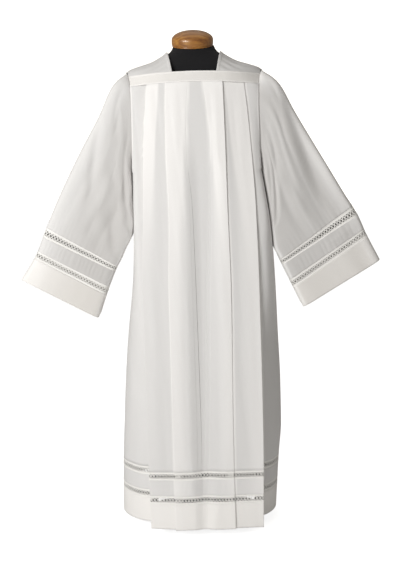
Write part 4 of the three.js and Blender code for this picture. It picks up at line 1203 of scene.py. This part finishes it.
def neckCap():  # a foot with a groove, upright sides and an elliptical dome, flattened and leant forward
    t = np.linspace(0, 1, 26)[1:-1] * np.pi / 2
    half, side, g = capSize["half"], capSize["side"], capSize["groove"]
    profile = [(half * 0.6, 0), (half - 4, 0), (half - 2.2, 0.5), (half - 1.2, 1.6), (half - 1, 3.0),
               (half - 1 - g * 0.6, 3.7), (half - 1 - g, 4.6), (half - g * 0.6, 5.5), (half - 0.1, 6.6),
               (half, 9), (half, 14), (half, side - 1)]
    profile += [(half * math.cos(a), side + (capSize["height"] - side) * math.sin(a)) for a in t]
    profile += [(1.5, capSize["height"] - 0.02)]
    rings = lathed(profile)
    rings[..., 1] *= capSize["front"] / half
    lean = form["tilt"]
    y, z = rings[..., 1].copy(), rings[..., 2].copy()
    rings[..., 1] = y * math.cos(lean) - z * math.sin(lean) + form["y"]
    rings[..., 2] = y * math.sin(lean) + z * math.cos(lean) + form["top"] + 0.5
    rings[..., 0] += capSize["x"]
    return rings


closedRings("neckCap", neckCap(), "wood", "cap_wood", "form_neck_cap")

stand = {"post": 14, "radius": 122, "rim": 9, "hub": 30, "hubHeight": 34, "gap": 0.3}


def standPost():  # a plain tube with both edges broken by a millimetre
    radius, low, high = stand["post"], stand["hubHeight"] + stand["gap"], form["low"] - stand["gap"]
    tube = [(radius, h) for h in np.linspace(60, high - 30, 12)]
    foot = [(9, low), (radius - 1, low), (radius, low + 1)]
    head = [(radius, high - 1.3), (radius - 1, high), (9, high)]
    return lathed(foot + tube + head, 48)


def standFoot():  # a flat disc that rises in a hollow curve to its hub
    radius, rim, hub, top = (stand[name] for name in ("radius", "rim", "hub", "hubHeight"))
    edge = [(60, 0), (radius - 2, 0), (radius, 1.5), (radius, rim - 1.5), (radius - 1, rim + 0.6),
            (radius - 4, rim + 2.2)]
    rise = [(90, 13.0), (60, 14.6), (hub + 10, 16), (hub + 4, 17.2), (hub + 1, 20), (hub - 1, 25)]
    rounded = [(hub - 3, 31), (hub - 4.6, top - 0.6), (hub - 6, top), (16, top)]
    return lathed(edge + rise + rounded)


closedRings("standPost", standPost(), "post", "stand_metal", "stand_post")
closedRings("standFoot", standFoot(), "foot", "base_iron", "stand_base")
print("form and stand made")

view = {"place": (0, -3.3, 1.33), "target": (0.025, 0, 0.77), "roll": 1.4, "up": 29.5}


def makeCamera():
    camera = bpy.data.cameras.new("camera")
    camera.sensor_fit = "VERTICAL"
    camera.sensor_height = 24
    camera.lens = camera.sensor_height / 2 / math.tan(math.radians(view["up"] / 2))
    camera.clip_end = 100
    obj = bpy.data.objects.new("camera", camera)
    place = Vector(view["place"])
    forward = (Vector(view["target"]) - place).normalized()
    turn = forward.to_track_quat("-Z", "Y").to_matrix().to_4x4()
    roll = Matrix.Rotation(math.radians(-view["roll"]), 4, "Z")
    obj.matrix_world = Matrix.Translation(place) @ turn @ roll
    bpy.context.scene.collection.objects.link(obj)
    bpy.context.scene.camera = obj


makeCamera()


def areaLight(name, place, target, width, height, power, colour):
    light = bpy.data.lights.new(name, "AREA")
    light.shape = "RECTANGLE"
    light.size, light.size_y = width, height
    light.energy = power
    light.color = colour
    obj = bpy.data.objects.new(name, light)
    turn = (Vector(target) - Vector(place)).to_track_quat("-Z", "Y").to_matrix().to_4x4()
    obj.matrix_world = Matrix.Translation(Vector(place)) @ turn
    bpy.context.scene.collection.objects.link(obj)


areaLight("keyLight", (-1.65, -2.4, 1.85), (0, 0, 0.85), 1.2, 1.5, 64, (1, 0.995, 0.985))
areaLight("topLight", (-0.2, 0.4, 3.4), (0, 0, 0.8), 2.4, 2.4, 6, (1, 0.98, 0.95))

floorSize = {"half": 9000, "below": 0.2, "glow": 0.82, "footprintY": -0.28, "footprint": (5.2, 7.2, 0)}


def paleFloor():
    # Pale and matt. Its glow is only there for the camera, and not inside an ellipse under the skirt, where
    # the length of the place times the footprint's scale is below 1.
    half, z = floorSize["half"], -floorSize["below"]
    floor = meshObject("floor", [(-half, -half, z), (half, -half, z), (half, half, z), (-half, half, z)],
                       [[0, 1, 2, 3]], smoothFaces=False)
    material, shader = materialBase("paleFloor", (0.9, 0.9, 0.9), 0.9, **{
        "Specular IOR Level": 0.1, "Emission Color": (1, 1, 1, 1)})
    tree = material.node_tree
    seen = tree.nodes.new("ShaderNodeLightPath")
    place = tree.nodes.new("ShaderNodeTexCoord").outputs["Object"]
    reach = tree.nodes.new("ShaderNodeVectorMath")
    reach.operation = "LENGTH"
    footprint = mapped(tree, place, floorSize["footprint"], place=(0, floorSize["footprintY"], 0))
    tree.links.new(footprint, reach.inputs[0])
    outside = mathNode(tree, "GREATER_THAN", reach.outputs["Value"], 1.0)
    glow = mathNode(tree, "MULTIPLY", seen.outputs["Is Camera Ray"], floorSize["glow"])
    tree.links.new(mathNode(tree, "MULTIPLY", glow, outside), shader.inputs["Emission Strength"])
    floor.data.materials.append(material)


paleFloor()
studio = {"colour": (1, 0.965, 0.91, 1), "light": 0.27, "seen": 1.2}


def studioWorld():  # an even warm light, and a brighter backdrop for the camera alone
    world = bpy.data.worlds.new("studio")
    bpy.context.scene.world = world
    world.use_nodes = True
    tree = world.node_tree
    background = tree.nodes["Background"]
    background.inputs["Color"].default_value = studio["colour"]
    path = tree.nodes.new("ShaderNodeLightPath")
    seen = mathNode(tree, "MULTIPLY", path.outputs["Is Camera Ray"], studio["seen"])
    tree.links.new(mathNode(tree, "ADD", seen, studio["light"]), background.inputs["Strength"])
    bpy.context.scene.view_settings.view_transform = "Standard"
    bpy.context.scene.view_settings.look = "None"


studioWorld()
print("camera, light and floor made")

triangles = {name: sum(len(p.vertices) - 2 for p in obj.data.polygons) for name, obj in pieces.items()}
print("triangles", sum(triangles.values()), "in", len(pieces), "pieces")
print("largest piece", max(triangles, key=triangles.get), max(triangles.values()))
